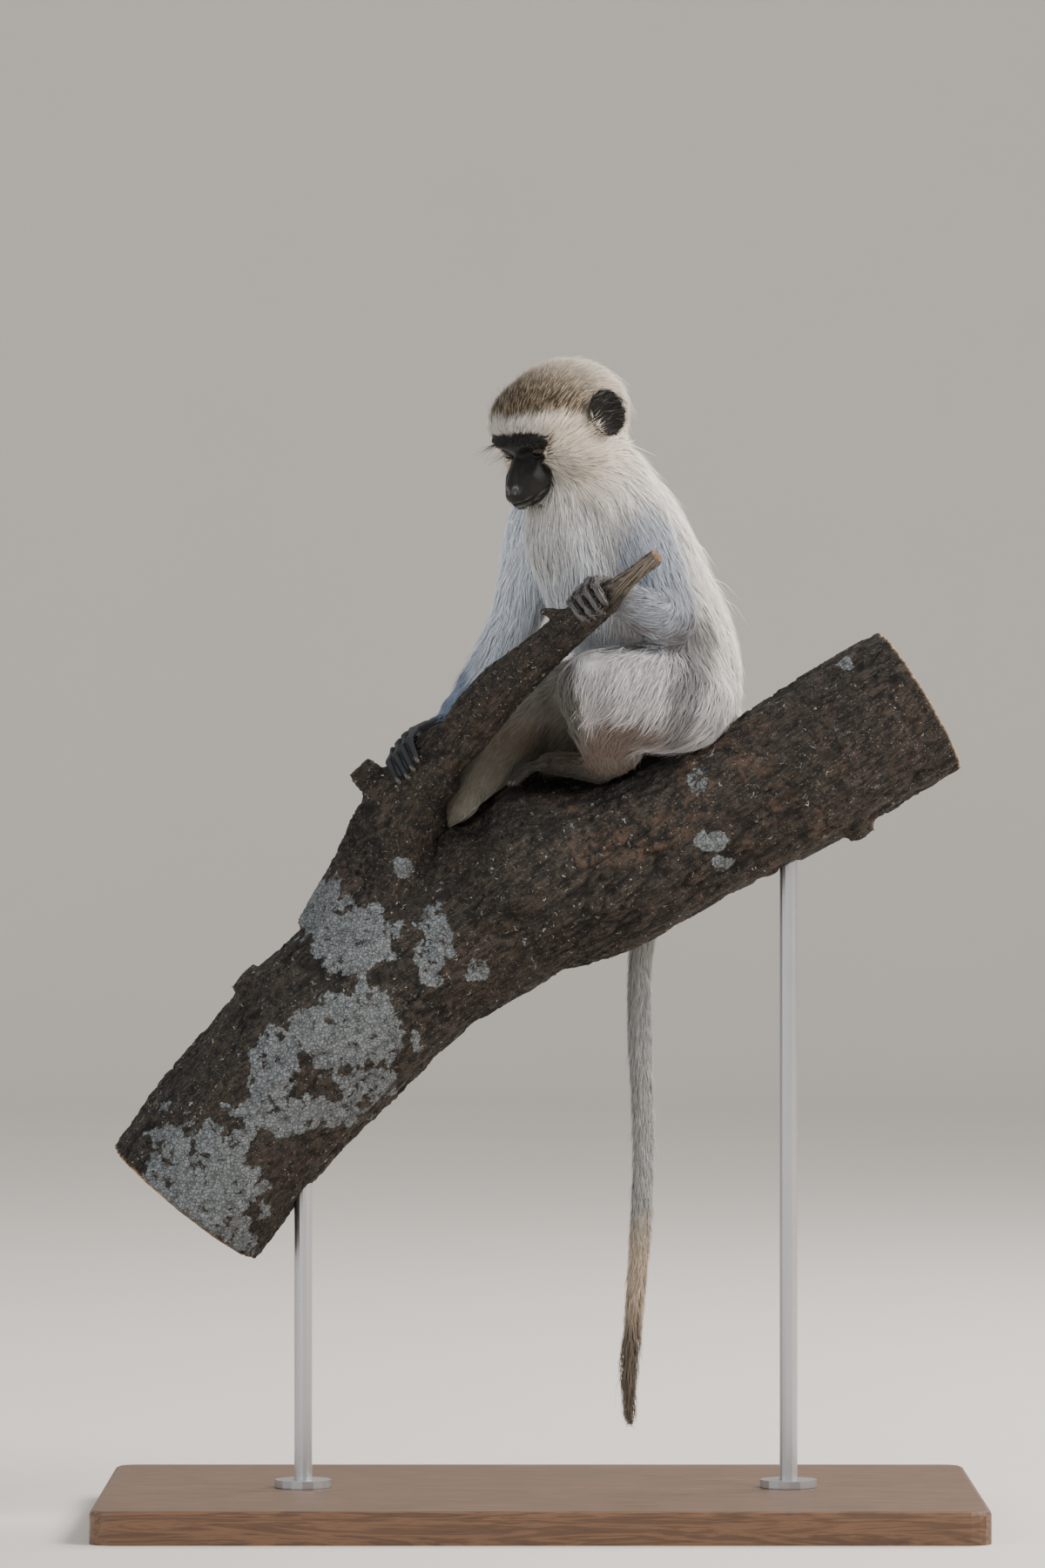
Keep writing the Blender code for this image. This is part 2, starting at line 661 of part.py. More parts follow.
def standing_foot(heel, ball_point, toe_tip, outer, droop, great_droop):
    """The pieces of a long foot lying on the limb.

    outer is the side of the little toe. droop bends the toes down, and great_droop the great toe.
    """
    heel, ball_point, toe_tip = Vector(heel), Vector(ball_point), Vector(toe_tip)
    forward = (toe_tip - heel).normalized()
    outer = Vector(outer)
    outer = (outer - forward * outer.dot(forward)).normalized()
    down = Vector((0, 0, -1))
    sole = [
        (*heel, 9.0, 9.0),
        (*(heel * 0.5 + ball_point * 0.5 + Vector((0, 0, 2.0))), 10.0, 9.5),
        (*ball_point, 14.0, 7.5),
    ]
    pieces = [tube("sole", sole, "dark_skin", sides=8, side=outer)]
    length = (toe_tip - ball_point).length
    for i in range(4):
        start = ball_point + outer * ((i - 1.4) * 7.0)
        reach = length * (1.0 - 0.07 * abs(i - 1.2))
        stations = []
        for t in (0.0, 0.55, 1.0):
            point = start + forward * (reach * t) + outer * ((i - 1.5) * 1.2 * t) + down * (droop * t * t)
            thick = TOE_RADIUS * (1.05 - 0.25 * t)
            stations.append((*point, thick, thick))
        pieces.append(tube("toe", stations, "dark_skin", sides=5, per_span=1, side=outer, dome=1))
    base = heel * 0.45 + ball_point * 0.55
    great = []
    for t in (0.0, 0.5, 1.0):
        point = base - outer * (8.0 + 17.0 * t) + forward * (20.0 * t) + down * (great_droop * t * t)
        great.append((*point, TOE_RADIUS * (1.3 - 0.2 * t), TOE_RADIUS * (1.3 - 0.2 * t)))
    pieces.append(tube("great_toe", great, "dark_skin", sides=5, per_span=1, side=down, dome=1))
    return pieces


# ---------------------------------------------------------------- the monkey


def tail_lengths():
    """The pieces of the tail. Each starts a little inside the one before, which then cuts it flat."""
    run = catmull_rom(TAIL, 2)
    run = np.vstack([run, domed(run, 2, False)])
    steps = np.linalg.norm(np.diff(run[:, :3], axis=0), axis=1)
    reach = np.concatenate([[0.0], np.cumsum(steps)]) / steps.sum()
    cuts = [0, *(int(np.argmin(abs(reach - share))) for share in TAIL_CUTS), len(run) - 1]
    pieces = []
    for first, last in zip(cuts, cuts[1:]):
        rows = run[max(first - 1, 0) : last + 1]
        pieces.append(tube("tail", rows, "coat", sides=9, per_span=1, side=(1, 0.3, 0), dome=0))
    return pieces


def monkey():
    """Fits the parts one after another, each against those before it."""
    trunk_left = turned_axes(TRUNK_YAW, 0.0)[1]
    sides = (("left", 1), ("right", -1))
    wood = ["perch_limb", "perch_branch"]

    for label, sign in sides:
        place = on_head((EYE_PLACE.x, EYE_PLACE.y * sign, EYE_PLACE.z))
        fit(f"eye_{label}", [ball("eye", place, EYE_RADIUS, "eye")])
    fit("head", [head_form(), muzzle_form()], ["eye_left", "eye_right"])
    for label, sign in sides:
        fit(f"ear_{label}", [ear_form(sign)], ["head"])

    back = tube("back", TRUNK, "coat", sides=12, side=trunk_left)
    chest = tube("chest", CHEST, "coat", sides=10, per_span=1, side=trunk_left)
    fit("trunk", [back, chest], ["perch_limb", "head"])
    fit("neck", [tube("neck", NECK, "coat", sides=16, per_span=1, side=trunk_left)], ["head", "trunk"])
    body = [*wood, "trunk", "neck", "head"]

    limbs = []
    for name, stations, side in (
        ("thigh_left", THIGH_LEFT, (0, 0, 1)),
        ("thigh_right", THIGH_RIGHT, (0, 0, 1)),
        ("shin_left", SHIN_LEFT, (0, 1, 0)),
        ("shin_right", SHIN_RIGHT, (0, 1, 0)),
        ("upper_arm_left", UPPER_ARM_LEFT, (0, 1, 0.2)),
        ("upper_arm_right", UPPER_ARM_RIGHT, (0, 1, 0.2)),
        ("forearm_left", FOREARM_LEFT, (0, 1, 0.2)),
        ("forearm_right", FOREARM_RIGHT, (0, 1, 0.2)),
    ):
        fit(name, [tube(name, stations, "coat", side=side)], [*body, *limbs])
        limbs.append(name)

    foot_left = standing_foot(
        (42, -20, 499), (4, -22, 505), (-20, -23, 507), outer=(0, -1, 0), droop=16.0, great_droop=10.0
    )
    foot_right = standing_foot(
        (-44, -8, 464), (-64, 28, 454), (-84, 54, 434), outer=(0.6, 0.6, 0.3), droop=14.0, great_droop=15.4
    )
    hand_left = gripping_hand(
        HAND_LEFT_PLACE, (55, -76, 618), (-0.25, 0.4, 1), knuckle_angle=0, tip_angle=138, lean=4
    )
    hand_right = gripping_hand(
        HAND_RIGHT_PLACE, (-60, 17, 536), (-1, 0.25, 0.3), knuckle_angle=-8, tip_angle=84, lean=-5
    )
    for name, pieces in (
        ("foot_left", foot_left),
        ("foot_right", foot_right),
        ("hand_left", hand_left),
        ("hand_right", hand_right),
    ):
        fit(name, pieces, [*body, *limbs])
        limbs.append(name)

    for number, piece in enumerate(tail_lengths(), start=1):
        name = f"tail_{number}"
        fit(name, [piece], [*body, *limbs])
        limbs.append(name)


def shade_round_pieces():
    for obj in bpy.data.objects:
        if obj.name != "stand_base":
            obj.data.shade_smooth()
            obj.data.set_sharp_from_angle(angle=math.radians(50))


def main():
    clear_scene()
    stand(perch())
    monkey()
    drop_shells()
    shade_round_pieces()


main()
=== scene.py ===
"""A still, life-size vervet monkey on a cut branch over a display stand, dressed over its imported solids.

One skin stands for all the flesh, and a coat of solid locks grows out of it. Eyes, nails, brow bristles and
bark are pieces of their own. Lengths in the tables are millimetres, and what is built is in metres.
"""

import logging
import math
from collections.abc import Callable
from dataclasses import dataclass, field
from enum import Enum
from typing import ClassVar

import bmesh
import bpy
import numpy as np
from mathutils import Matrix, Vector, noise
from mathutils.bvhtree import BVHTree
from mathutils.kdtree import KDTree


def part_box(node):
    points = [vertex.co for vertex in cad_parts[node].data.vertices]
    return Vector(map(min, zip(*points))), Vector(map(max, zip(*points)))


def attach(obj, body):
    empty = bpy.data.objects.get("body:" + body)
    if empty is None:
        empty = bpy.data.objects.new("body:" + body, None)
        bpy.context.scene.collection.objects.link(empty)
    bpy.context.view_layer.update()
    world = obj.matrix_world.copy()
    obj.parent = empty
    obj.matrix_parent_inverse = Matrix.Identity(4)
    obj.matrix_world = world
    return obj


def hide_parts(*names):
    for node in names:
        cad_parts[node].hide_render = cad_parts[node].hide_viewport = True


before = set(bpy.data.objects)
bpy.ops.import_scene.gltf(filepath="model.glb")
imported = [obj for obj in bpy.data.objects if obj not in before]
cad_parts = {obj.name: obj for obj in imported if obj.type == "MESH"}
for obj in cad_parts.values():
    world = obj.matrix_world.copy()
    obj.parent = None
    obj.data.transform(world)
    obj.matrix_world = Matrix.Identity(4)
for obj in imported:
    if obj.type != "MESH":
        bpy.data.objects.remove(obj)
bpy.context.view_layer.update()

MM = 0.001
BODY = "root"
LOG = logging.getLogger("vervet")

Colour = tuple[float, float, float]
Place = tuple[float, float, float]
Rows = np.ndarray
Chance = np.random.Generator
Object, Mesh, Material = bpy.types.Object, bpy.types.Mesh, bpy.types.Material


# ---------------- shader maths


class Flow:
    """A number, colour or vector on its way through a shader, with Python's operators on numbers."""

    def __init__(self, shader: "Shader", socket: bpy.types.NodeSocket) -> None:
        """Keeps the material being built and the output that holds the value."""
        self.shader, self.socket = shader, socket

    def __add__(self, other: "Flow | float") -> "Flow":
        """self + other."""
        return self.shader.maths("ADD", self, other)

    def __radd__(self, other: float) -> "Flow":
        """other + self."""
        return self.shader.maths("ADD", other, self)

    def __sub__(self, other: "Flow | float") -> "Flow":
        """self - other."""
        return self.shader.maths("SUBTRACT", self, other)

    def __rsub__(self, other: float) -> "Flow":
        """other - self."""
        return self.shader.maths("SUBTRACT", other, self)

    def __mul__(self, other: "Flow | float") -> "Flow":
        """self * other."""
        return self.shader.maths("MULTIPLY", self, other)

    def __rmul__(self, other: float) -> "Flow":
        """other * self."""
        return self.shader.maths("MULTIPLY", other, self)

    def __truediv__(self, other: "Flow | float") -> "Flow":
        """self / other."""
        return self.shader.maths("DIVIDE", self, other)


Value = Flow | float
Paint = Flow | Colour


class Shader:
    """One material and its nodes."""

    def __init__(self, name: str) -> None:
        """Starts an empty material.

        Args:
            name: the material's name.
        """
        self.material = bpy.data.materials.new(name)
        self.material.use_nodes = True
        self.tree = self.material.node_tree
        self.tree.nodes.clear()

    def node(self, kind: str, settings: dict | None = None, sockets: dict | None = None) -> bpy.types.Node:
        """Adds any node.

        Args:
            kind: the node's type, without the ShaderNode in front.
            settings: its properties, set before its sockets.
            sockets: values or flows of its inputs, by name, identifier or number.

        Returns:
            The node.
        """
        made = self.tree.nodes.new("ShaderNode" + kind)
        for key, value in (settings or {}).items():
            setattr(made, key, value)
        for key, value in (sockets or {}).items():
            entry = self.find(made.inputs, key)
            if isinstance(value, Flow):
                self.tree.links.new(value.socket, entry)
            else:
                entry.default_value = value
        return made

    @staticmethod
    def find(sockets: bpy.types.bpy_prop_collection, key: str | int) -> bpy.types.NodeSocket:
        """One of a node's inputs or outputs, by number, identifier or name."""
        match = None if isinstance(key, int) else next((s for s in sockets if s.identifier == key), None)
        return match or sockets[key]

    def flow(self, node: bpy.types.Node, key: str | int = 0) -> Flow:
        """One output of a node."""
        return Flow(self, self.find(node.outputs, key))

    def maths(self, operation: str, first: Value, second: Value = 0.0, clamp: bool = False) -> Flow:
        """A Math node's operation on two values, held from 0 to 1 where clamp is set."""
        settings = {"operation": operation, "use_clamp": clamp}
        return self.flow(self.node("Math", settings, {0: first, 1: second}))

    def clamp(self, value: Flow) -> Flow:
        """The value held from 0 to 1."""
        return self.maths("ADD", value, 0.0, True)

    def step(self, value: Flow, low: float, high: float) -> Flow:
        """The value as a smooth climb from 0 at low to 1 at high."""
        sockets = {"Value": value, "From Min": low, "From Max": high}
        return self.flow(self.node("MapRange", {"interpolation_type": "SMOOTHSTEP"}, sockets))

    def place(self) -> Flow:
        """The point on the piece in its own space."""
        return self.flow(self.node("TexCoord"), "Object")

    def attribute(self, name: str, output: str = "Color") -> Flow:
        """One of the mesh's own attributes."""
        return self.flow(self.node("Attribute", {"attribute_name": name}), output)

    def stretch(self, vector: Flow, scale: Place) -> Flow:
        """The vector scaled, for a pattern that is longer one way."""
        return self.flow(self.node("Mapping", None, {"Vector": vector, "Scale": scale}))

    def noise(
        self, vector: Flow, scale: float, detail: float = 4.0, rough: float = 0.55, bend: float = 0.0
    ) -> Flow:
        """Soft noise from 0 to 1.

        Args:
            vector: where it is read.
            scale: how many waves there are in a metre.
            detail: how many finer layers.
            rough: how strong the finer layers are.
            bend: how far the pattern is distorted.

        Returns:
            The noise.
        """
        sockets = {"Vector": vector, "Scale": scale, "Detail": detail, "Roughness": rough, "Distortion": bend}
        return self.flow(self.node("TexNoise", None, sockets), "Fac")

    def warp(self, vector: Flow, scale: float, reach: float) -> Flow:
        """The vector bent by soft noise, for broken edges.

        Args:
            vector: what is bent.
            scale: how many waves there are in a metre.
            reach: how far it is bent, in metres.

        Returns:
            The bent vector.
        """
        waves = self.node("TexNoise", None, {"Vector": vector, "Scale": scale, "Detail": 3.0})
        sockets = {0: self.flow(waves, "Color"), 1: (reach, reach, reach), 2: vector}
        return self.flow(self.node("VectorMath", {"operation": "MULTIPLY_ADD"}, sockets))

    def cells(self, vector: Flow, scale: float, feature: str = "F1") -> Flow:
        """The distance inside a pattern of cells."""
        made = self.node("TexVoronoi", {"feature": feature}, {"Vector": vector, "Scale": scale})
        return self.flow(made, "Distance")

    def mix(self, share: Value, first: Paint, second: Paint, kind: str = "MIX") -> Flow:
        """Two colours mixed.

        Args:
            share: how much of the second shows.
            first: the colour at 0.
            second: the colour at 1.
            kind: the way they blend.

        Returns:
            The colour.
        """
        full = [c if isinstance(c, Flow) else (*c, 1.0) for c in (first, second)]
        settings = {"data_type": "RGBA", "blend_type": kind}
        sockets = {"Factor_Float": share, "A_Color": full[0], "B_Color": full[1]}
        return self.flow(self.node("Mix", settings, sockets), "Result_Color")

    def tone(self, colour: Paint, value: Flow) -> Flow:
        """A colour made lighter or darker by a number."""
        grey = self.flow(self.node("CombineColor", None, {"Red": value, "Green": value, "Blue": value}))
        return self.mix(1.0, colour, grey, "MULTIPLY")

    def bump(self, height: Flow, distance: float, strength: float) -> Flow:
        """A normal from a height from 0 to 1, by its depth in metres and how much of it shows."""
        sockets = {"Height": height, "Distance": distance, "Strength": strength}
        return self.flow(self.node("Bump", None, sockets))

    def close(
        self, base: Paint, roughness: Value, normal: Flow | None = None, fixed: dict | None = None
    ) -> Material:
        """Ends the material with its surface.

        Args:
            base: the base colour.
            roughness: from 0, a mirror, to 1.
            normal: the bumped normal, if there is one.
            fixed: other inputs of the surface, the same all over.

        Returns:
            The material.
        """
        sockets = {"Base Color": base if isinstance(base, Flow) else (*base, 1.0), "Roughness": roughness}
        if normal is not None:
            sockets["Normal"] = normal
        surface = self.node("BsdfPrincipled", None, {**sockets, **(fixed or {})})
        self.node("OutputMaterial", None, {"Surface": self.flow(surface)})
        return self.material


# ---------------- finishes


@dataclass(frozen=True)
class LockFinish:
    """Hair: the lock's own tint, darker at the root, partly the undercoat's own grey and partly painted shade
    deep in the coat, with fine strands along it.
    """

    name: str
    root_shade: float = 0.80
    tip_shade: float = 1.05
    strand_contrast: float = 0.22
    roughness: float = 0.66
    relief: float = 0.12 * MM

    def material(self) -> Material:
        """Builds the finish.

        Returns:
            The material.
        """
        s = Shader(self.name)
        tint = s.attribute("tint")
        strand = s.attribute("strand", "Vector")
        fine = s.noise(s.stretch(strand, (9.0, 2.2, 1.0)), 1.0, 2.0, 0.6)
        split = s.flow(s.node("SeparateXYZ", None, {"Vector": strand}), "Y")
        climb = s.step(split, 0.0, 0.55)
        # darker towards the root: partly the undercoat's grey, partly painted shade between the locks
        shade = self.root_shade + climb * (self.tip_shade - self.root_shade)
        streak = 1.0 + (fine - 0.5) * (2.0 * self.strand_contrast)
        others = {"Specular IOR Level": 0.28, "Sheen Weight": 0.12, "Sheen Roughness": 0.5}
        return s.close(s.tone(tint, shade * streak), self.roughness, s.bump(fine, self.relief, 0.5), others)


@dataclass(frozen=True)
class SkinFinish:
    """Bare, slightly shiny dark skin with pores and creases, and matt undercoat where the hair grows."""

    pore_scale: float = 900.0
    crease_scale: float = 260.0
    bare_roughness: float = 0.46
    undercoat_roughness: float = 0.9

    def material(self) -> Material:
        """Builds the finish.

        Returns:
            The material.
        """
        s = Shader("skin")
        place = s.place()
        tint = s.attribute("tint")
        bare = s.attribute("bare", "Fac")
        pores = s.cells(place, self.pore_scale)
        creases = s.noise(s.stretch(place, (1.0, 1.0, 2.2)), self.crease_scale, 5.0, 0.6, 0.6)
        mottling = s.noise(place, 120.0, 3.0)
        # the tone follows the creases pattern, darker where it is low: painted shade in the creases, over
        # random mottling
        base = s.tone(tint, 0.72 + 0.56 * mottling + (creases - 0.5) * 0.35)
        rough = self.undercoat_roughness + (self.bare_roughness - self.undercoat_roughness) * bare
        height = pores * 0.35 + creases
        wet = s.attribute("wet", "Fac")
        rough = rough - 0.22 * wet + (creases - 0.5) * 0.25
        others = {"Specular IOR Level": 0.17, "Coat Weight": wet, "Coat Roughness": 0.12}
        return s.close(base, rough, s.bump(height, 0.35 * MM, 0.5), others)


@dataclass(frozen=True)
class EyeFinish:
    """A wet brown eye: round pupil, streaked iris, dark ring and a brown-grey white."""

    centre: Vector
    gaze: Vector
    radius: float
    # the iris and the white are kept near black: partly their own dark brown, partly painted shade under the
    # brow
    iris: Colour = (0.055, 0.022, 0.008)
    iris_edge: Colour = (0.016, 0.008, 0.004)
    white: Colour = (0.026, 0.019, 0.015)

    def material(self) -> Material:
        """Builds the finish.

        Returns:
            The material.
        """
        s = Shader("eye")
        place = s.place()
        arm = s.flow(s.node("VectorMath", {"operation": "SUBTRACT"}, {0: place, 1: self.centre}))
        dot = s.flow(s.node("VectorMath", {"operation": "DOT_PRODUCT"}, {0: arm, 1: self.gaze}), "Value")
        reach = dot / self.radius
        fibres = s.noise(place, 2600.0, 2.0, 0.7)
        iris = s.mix(fibres, self.iris, self.iris_edge)
        rim = s.step(reach, 0.80, 0.86)
        ball = s.mix(rim, self.iris_edge, iris)
        ball = s.mix(s.step(reach, 0.70, 0.76), self.white, ball)
        ball = s.mix(s.step(reach, 0.955, 0.965), ball, (0.002, 0.002, 0.002))
        others = {"Coat Weight": 0.25, "Coat Roughness": 0.03, "Specular IOR Level": 0.16}
        return s.close(ball, 0.06, None, others)


@dataclass(frozen=True)
class BarkFinish:
    """Rough dark bark with reddish weathered wood, pale crusts of lichen and sawn ends."""

    dark: Colour = (0.008, 0.0065, 0.0055)
    mid: Colour = (0.046, 0.036, 0.027)
    red: Colour = (0.10, 0.056, 0.036)
    pale: Colour = (0.20, 0.18, 0.15)
    fleck: Colour = (0.42, 0.40, 0.36)
    strip_dark: Colour = (0.035, 0.027, 0.020)
    strip_light: Colour = (0.20, 0.165, 0.13)
    lichen: Colour = (0.21, 0.226, 0.235)
    lichen_edge: Colour = (0.105, 0.118, 0.121)
    sapwood: Colour = (0.42, 0.28, 0.16)
    heartwood: Colour = (0.22, 0.12, 0.065)

    def material(self) -> Material:
        """Builds the finish.

        Returns:
            The material.
        """
        s = Shader("bark")
        place = s.place()
        along = s.attribute("grain", "Vector")
        crack = s.attribute("crack", "Fac")
        fibres = s.noise(s.stretch(along, (1.0, 3.0, 3.0)), 210.0, 6.0, 0.66, 0.6)
        blotches = s.noise(place, 26.0, 4.0, 0.6, 0.5)
        speckle = s.noise(place, 620.0, 4.0, 0.72)
        relief_mottle = s.noise(place, 150.0, 5.0, 0.7, 0.8)
        # the bark is darker where the fibres and this mottle run low, which is also where its bump is lowest
        base = s.mix(s.step(fibres * 0.5 + relief_mottle * 0.5, 0.42, 0.60), self.dark, self.mid)
        weathered = s.clamp(s.step(blotches, 0.48, 0.66) * s.attribute("red", "Fac") * 0.8)
        base = s.mix(weathered * s.step(relief_mottle, 0.42, 0.60), base, self.red)
        base = s.mix(s.step(speckle, 0.58, 0.68) * 0.6, base, self.pale)
        flecks = s.step(s.noise(place, 330.0, 3.0, 0.6, 1.0), 0.66, 0.70)
        base = s.mix(flecks * 0.8, base, self.fleck)
        # the cracks are painted 70% darker: painted shade in the cracks
        base = s.tone(base, 1.0 - 0.70 * crack)
        peel = s.attribute("peel", "Fac")
        strips = s.noise(s.stretch(along, (0.5, 9.0, 9.0)), 110.0, 4.0, 0.6, 0.3)
        base = s.mix(peel, base, s.mix(s.step(strips, 0.38, 0.62), self.strip_dark, self.strip_light))
        crust = self.crust(s, place)
        flakes = s.step(s.cells(s.warp(place, 240.0, 3.2 * MM), 400.0, "DISTANCE_TO_EDGE"), 0.0, 0.13)
        shade = s.noise(place, 260.0, 5.0, 0.75, 0.5)
        scale = s.mix(s.step(shade, 0.38, 0.60), self.lichen_edge, self.lichen)
        base = s.mix(crust * (0.42 + 0.58 * flakes) * s.step(shade, 0.26, 0.40), base, scale)
        ends = s.attribute("sawn", "Fac")
        wood, rings = self.sawn(s)
        base = s.mix(ends, base, wood)
        rough = 0.86 - 0.12 * fibres
        height = fibres * 0.45 + relief_mottle * 0.5 + speckle * 0.25 + crust * flakes * 0.4 + peel * strips * 0.6
        height = height * (1.0 - ends) + rings * ends * 0.25
        return s.close(base, rough, s.bump(height, 1.6 * MM, 0.9), {"Specular IOR Level": 0.3})

    def crust(self, s: Shader, place: Flow) -> Flow:
        """1 where lichen grows, at the point on the bark: ragged patches where the wood allows it."""
        patches = s.noise(place, 130.0, 5.0, 0.66, 0.5)
        return s.step(patches + s.attribute("lichen", "Fac") * 0.36, 0.71, 0.76)

    def sawn(self, s: Shader) -> tuple[Flow, Flow]:
        """The end grain.

        Args:
            s: the material.

        Returns:
            Its colour, and its rings from 0 to 1.
        """
        spread = s.attribute("spread", "Fac")
        wobble = s.noise(s.place(), 60.0, 3.0) * 0.10
        rings = s.maths("SINE", (spread + wobble) * 95.0) * 0.5 + 0.5
        wood = s.mix(s.step(spread, 0.25, 0.75), self.heartwood, self.sapwood)
        return s.tone(wood, 0.72 + 0.35 * rings), rings


@dataclass(frozen=True)
class BaseWoodFinish:
    """Oiled walnut with long grain."""

    light: Colour = (0.19, 0.095, 0.045)
    dark: Colour = (0.060, 0.027, 0.013)

    def material(self) -> Material:
        """Builds the finish.

        Returns:
            The material.
        """
        s = Shader("base_wood")
        place = s.place()
        long = s.stretch(place, (0.7, 9.0, 9.0))
        wave = s.noise(s.stretch(place, (1.0, 3.0, 3.0)), 4.0, 3.0)
        grain = s.noise(long, 9.0, 7.0, 0.62, 0.8)
        rings = s.maths("SINE", (grain + wave * 0.6) * 42.0) * 0.5 + 0.5
        pores = s.noise(s.stretch(place, (0.5, 14.0, 14.0)), 90.0, 3.0, 0.6)
        base = s.mix(rings * 0.55 + grain * 0.35, self.dark, self.light)
        base = s.tone(base, 1.0 - 0.35 * s.step(pores, 0.58, 0.70))
        rough = 0.36 + 0.18 * pores
        fixed = {"Coat Weight": 0.15, "Coat Roughness": 0.25}
        return s.close(base, rough, s.bump(pores + rings * 0.3, 0.15 * MM, 0.4), fixed)


@dataclass(frozen=True)
class SteelFinish:
    """Brushed stainless steel."""

    colour: Colour = (0.56, 0.56, 0.57)

    def material(self) -> Material:
        """Builds the finish.

        Returns:
            The material.
        """
        s = Shader("steel")
        lines = s.noise(s.stretch(s.place(), (1.0, 1.0, 60.0)), 30.0, 3.0, 0.6)
        smudge = s.noise(s.place(), 24.0, 3.0)
        rough = 0.22 + 0.16 * lines + 0.10 * smudge
        base = s.tone(self.colour, 0.88 + 0.16 * lines)
        return s.close(base, rough, s.bump(lines, 0.02 * MM, 0.4), {"Metallic": 1.0})


@dataclass(frozen=True)
class NailFinish:
    """Dark horn with paler streaks, scratched."""

    dark: Colour = (0.028, 0.022, 0.019)
    light: Colour = (0.13, 0.105, 0.09)

    def material(self) -> Material:
        """Builds the finish.

        Returns:
            The material.
        """
        s = Shader("nail")
        lines = s.noise(s.stretch(s.place(), (1.0, 1.0, 0.3)), 1400.0, 3.0)
        base = s.mix(s.step(lines, 0.45, 0.75), self.dark, self.light)
        return s.close(base, 0.28 + 0.2 * lines, s.bump(lines, 0.1 * MM, 0.4), {"Coat Weight": 0.2})


@dataclass(frozen=True)
class FloorFinish:
    """Plain pale paper."""

    colour: Colour = (0.77, 0.72, 0.66)

    def material(self) -> Material:
        """Builds the finish.

        Returns:
            The material.
        """
        s = Shader("floor")
        return s.close(s.tone(self.colour, 0.98 + 0.04 * s.noise(s.place(), 3.0)), 0.9)


# ---------------- meshes and fields


class Waves:
    """Smooth seeded noise over points, from -1 to 1."""

    primes = (374761393, 668265263, 1442695041)
    seed_prime, stir_prime = 1013904223, 1274126177
    mask = 0xFFFFFFFF

    def __init__(self, seed: int, size: float) -> None:
        """Keeps which noise it is, and the breadth of one wave in metres."""
        self.seed, self.size = seed, size

    def knot(self, cells: Rows) -> Rows:
        """Gives each lattice point a steady random value.

        Args:
            cells: rows of whole numbers.

        Returns:
            One value a row, from -1 to 1.
        """
        h = (cells @ np.array(self.primes) + self.seed * self.seed_prime) & self.mask
        h = ((h ^ (h >> 13)) * self.stir_prime) & self.mask
        h = ((h ^ (h >> 16)) * self.primes[1]) & self.mask
        return (h ^ (h >> 15)) / self.mask * 2 - 1

    def at(self, points: Rows) -> Rows:
        """The noise at each point.

        Args:
            points: rows of x, y, z in metres.

        Returns:
            One value a point.
        """
        scaled = np.asarray(points, float) / self.size
        low = np.floor(scaled).astype(np.int64)
        f = scaled - low
        f = f * f * (3 - 2 * f)
        total = np.zeros(len(scaled))
        for corner in np.ndindex(2, 2, 2):
            share = np.prod(np.where(np.array(corner) == 1, f, 1 - f), axis=1)
            total += share * self.knot(low + np.array(corner))
        return total

    def rough(self, points: Rows, layers: int) -> Rows:
        """The noise with finer layers on it, each half as strong.

        Args:
            points: rows of x, y, z in metres.
            layers: how many there are in all.

        Returns:
            One value a point.
        """
        total = np.zeros(len(points))
        for k in range(layers):
            total += Waves(self.seed + k, self.size / 2**k).at(points) / 2**k
        return total


def smooth_step(value: Rows, low: float, high: float) -> Rows:
    """A smooth climb from 0 at low to 1 at high; low may be the larger one."""
    t = np.clip((value - low) / (high - low), 0, 1)
    return t * t * (3 - 2 * t)


def unit(rows: Rows) -> Rows:
    """Each row at length 1."""
    return rows / np.maximum(np.linalg.norm(rows, axis=-1, keepdims=True), 1e-12)


def flatten(rows: Rows, normals: Rows) -> Rows:
    """Each row laid into the plane across its normal, at length 1."""
    return unit(rows - normals * np.sum(rows * normals, axis=1, keepdims=True))


def egg(points: Rows, centre: Place, axes: Place) -> Rows:
    """How far out each point is from the centre, where 1 is on the egg shape with those half lengths."""
    return np.linalg.norm((points - np.array(centre)) / np.array(axes), axis=1)


def bell(points: Rows, centre: Place, spread: Place) -> Rows:
    """1 at the centre, and softly less all round."""
    gap = (points - np.array(centre)) / np.array(spread)
    return np.exp(-np.sum(gap * gap, axis=1))


def beside(points: Rows, start: Rows, end: Rows, low: float = 0.0, high: float = 1.0) -> tuple[Rows, Rows]:
    """Measures points against a straight line.

    Args:
        points: the rows.
        start: where the line starts.
        end: where it ends.
        low: the least share of it that counts.
        high: the largest share.

    Returns:
        The share of the line each point is at, and the point as seen from there.
    """
    arm = end - start
    t = np.clip((points - start) @ arm / (arm @ arm), low, high)
    return t, points - start - t[:, None] * arm


def mixed(first: Rows, second: Rows | Place, share: Rows) -> Rows:
    """The first rows, with this share of the second in them."""
    return first * (1 - share[:, None]) + np.array(second) * share[:, None]


def placed(name: str, data: bpy.types.ID) -> Object:
    """Adds an object to the scene.

    Args:
        name: its name.
        data: the mesh, light or camera that it holds.

    Returns:
        The object.
    """
    obj = bpy.data.objects.new(name, data)
    bpy.context.scene.collection.objects.link(obj)
    return obj


def select_only(*objects: Object) -> None:
    """Selects some objects alone.

    Args:
        objects: the objects, of which the first becomes the active one.
    """
    for other in list(bpy.context.selected_objects):
        other.select_set(False)
    for obj in objects:
        obj.select_set(True)
    bpy.context.view_layer.objects.active = objects[0]


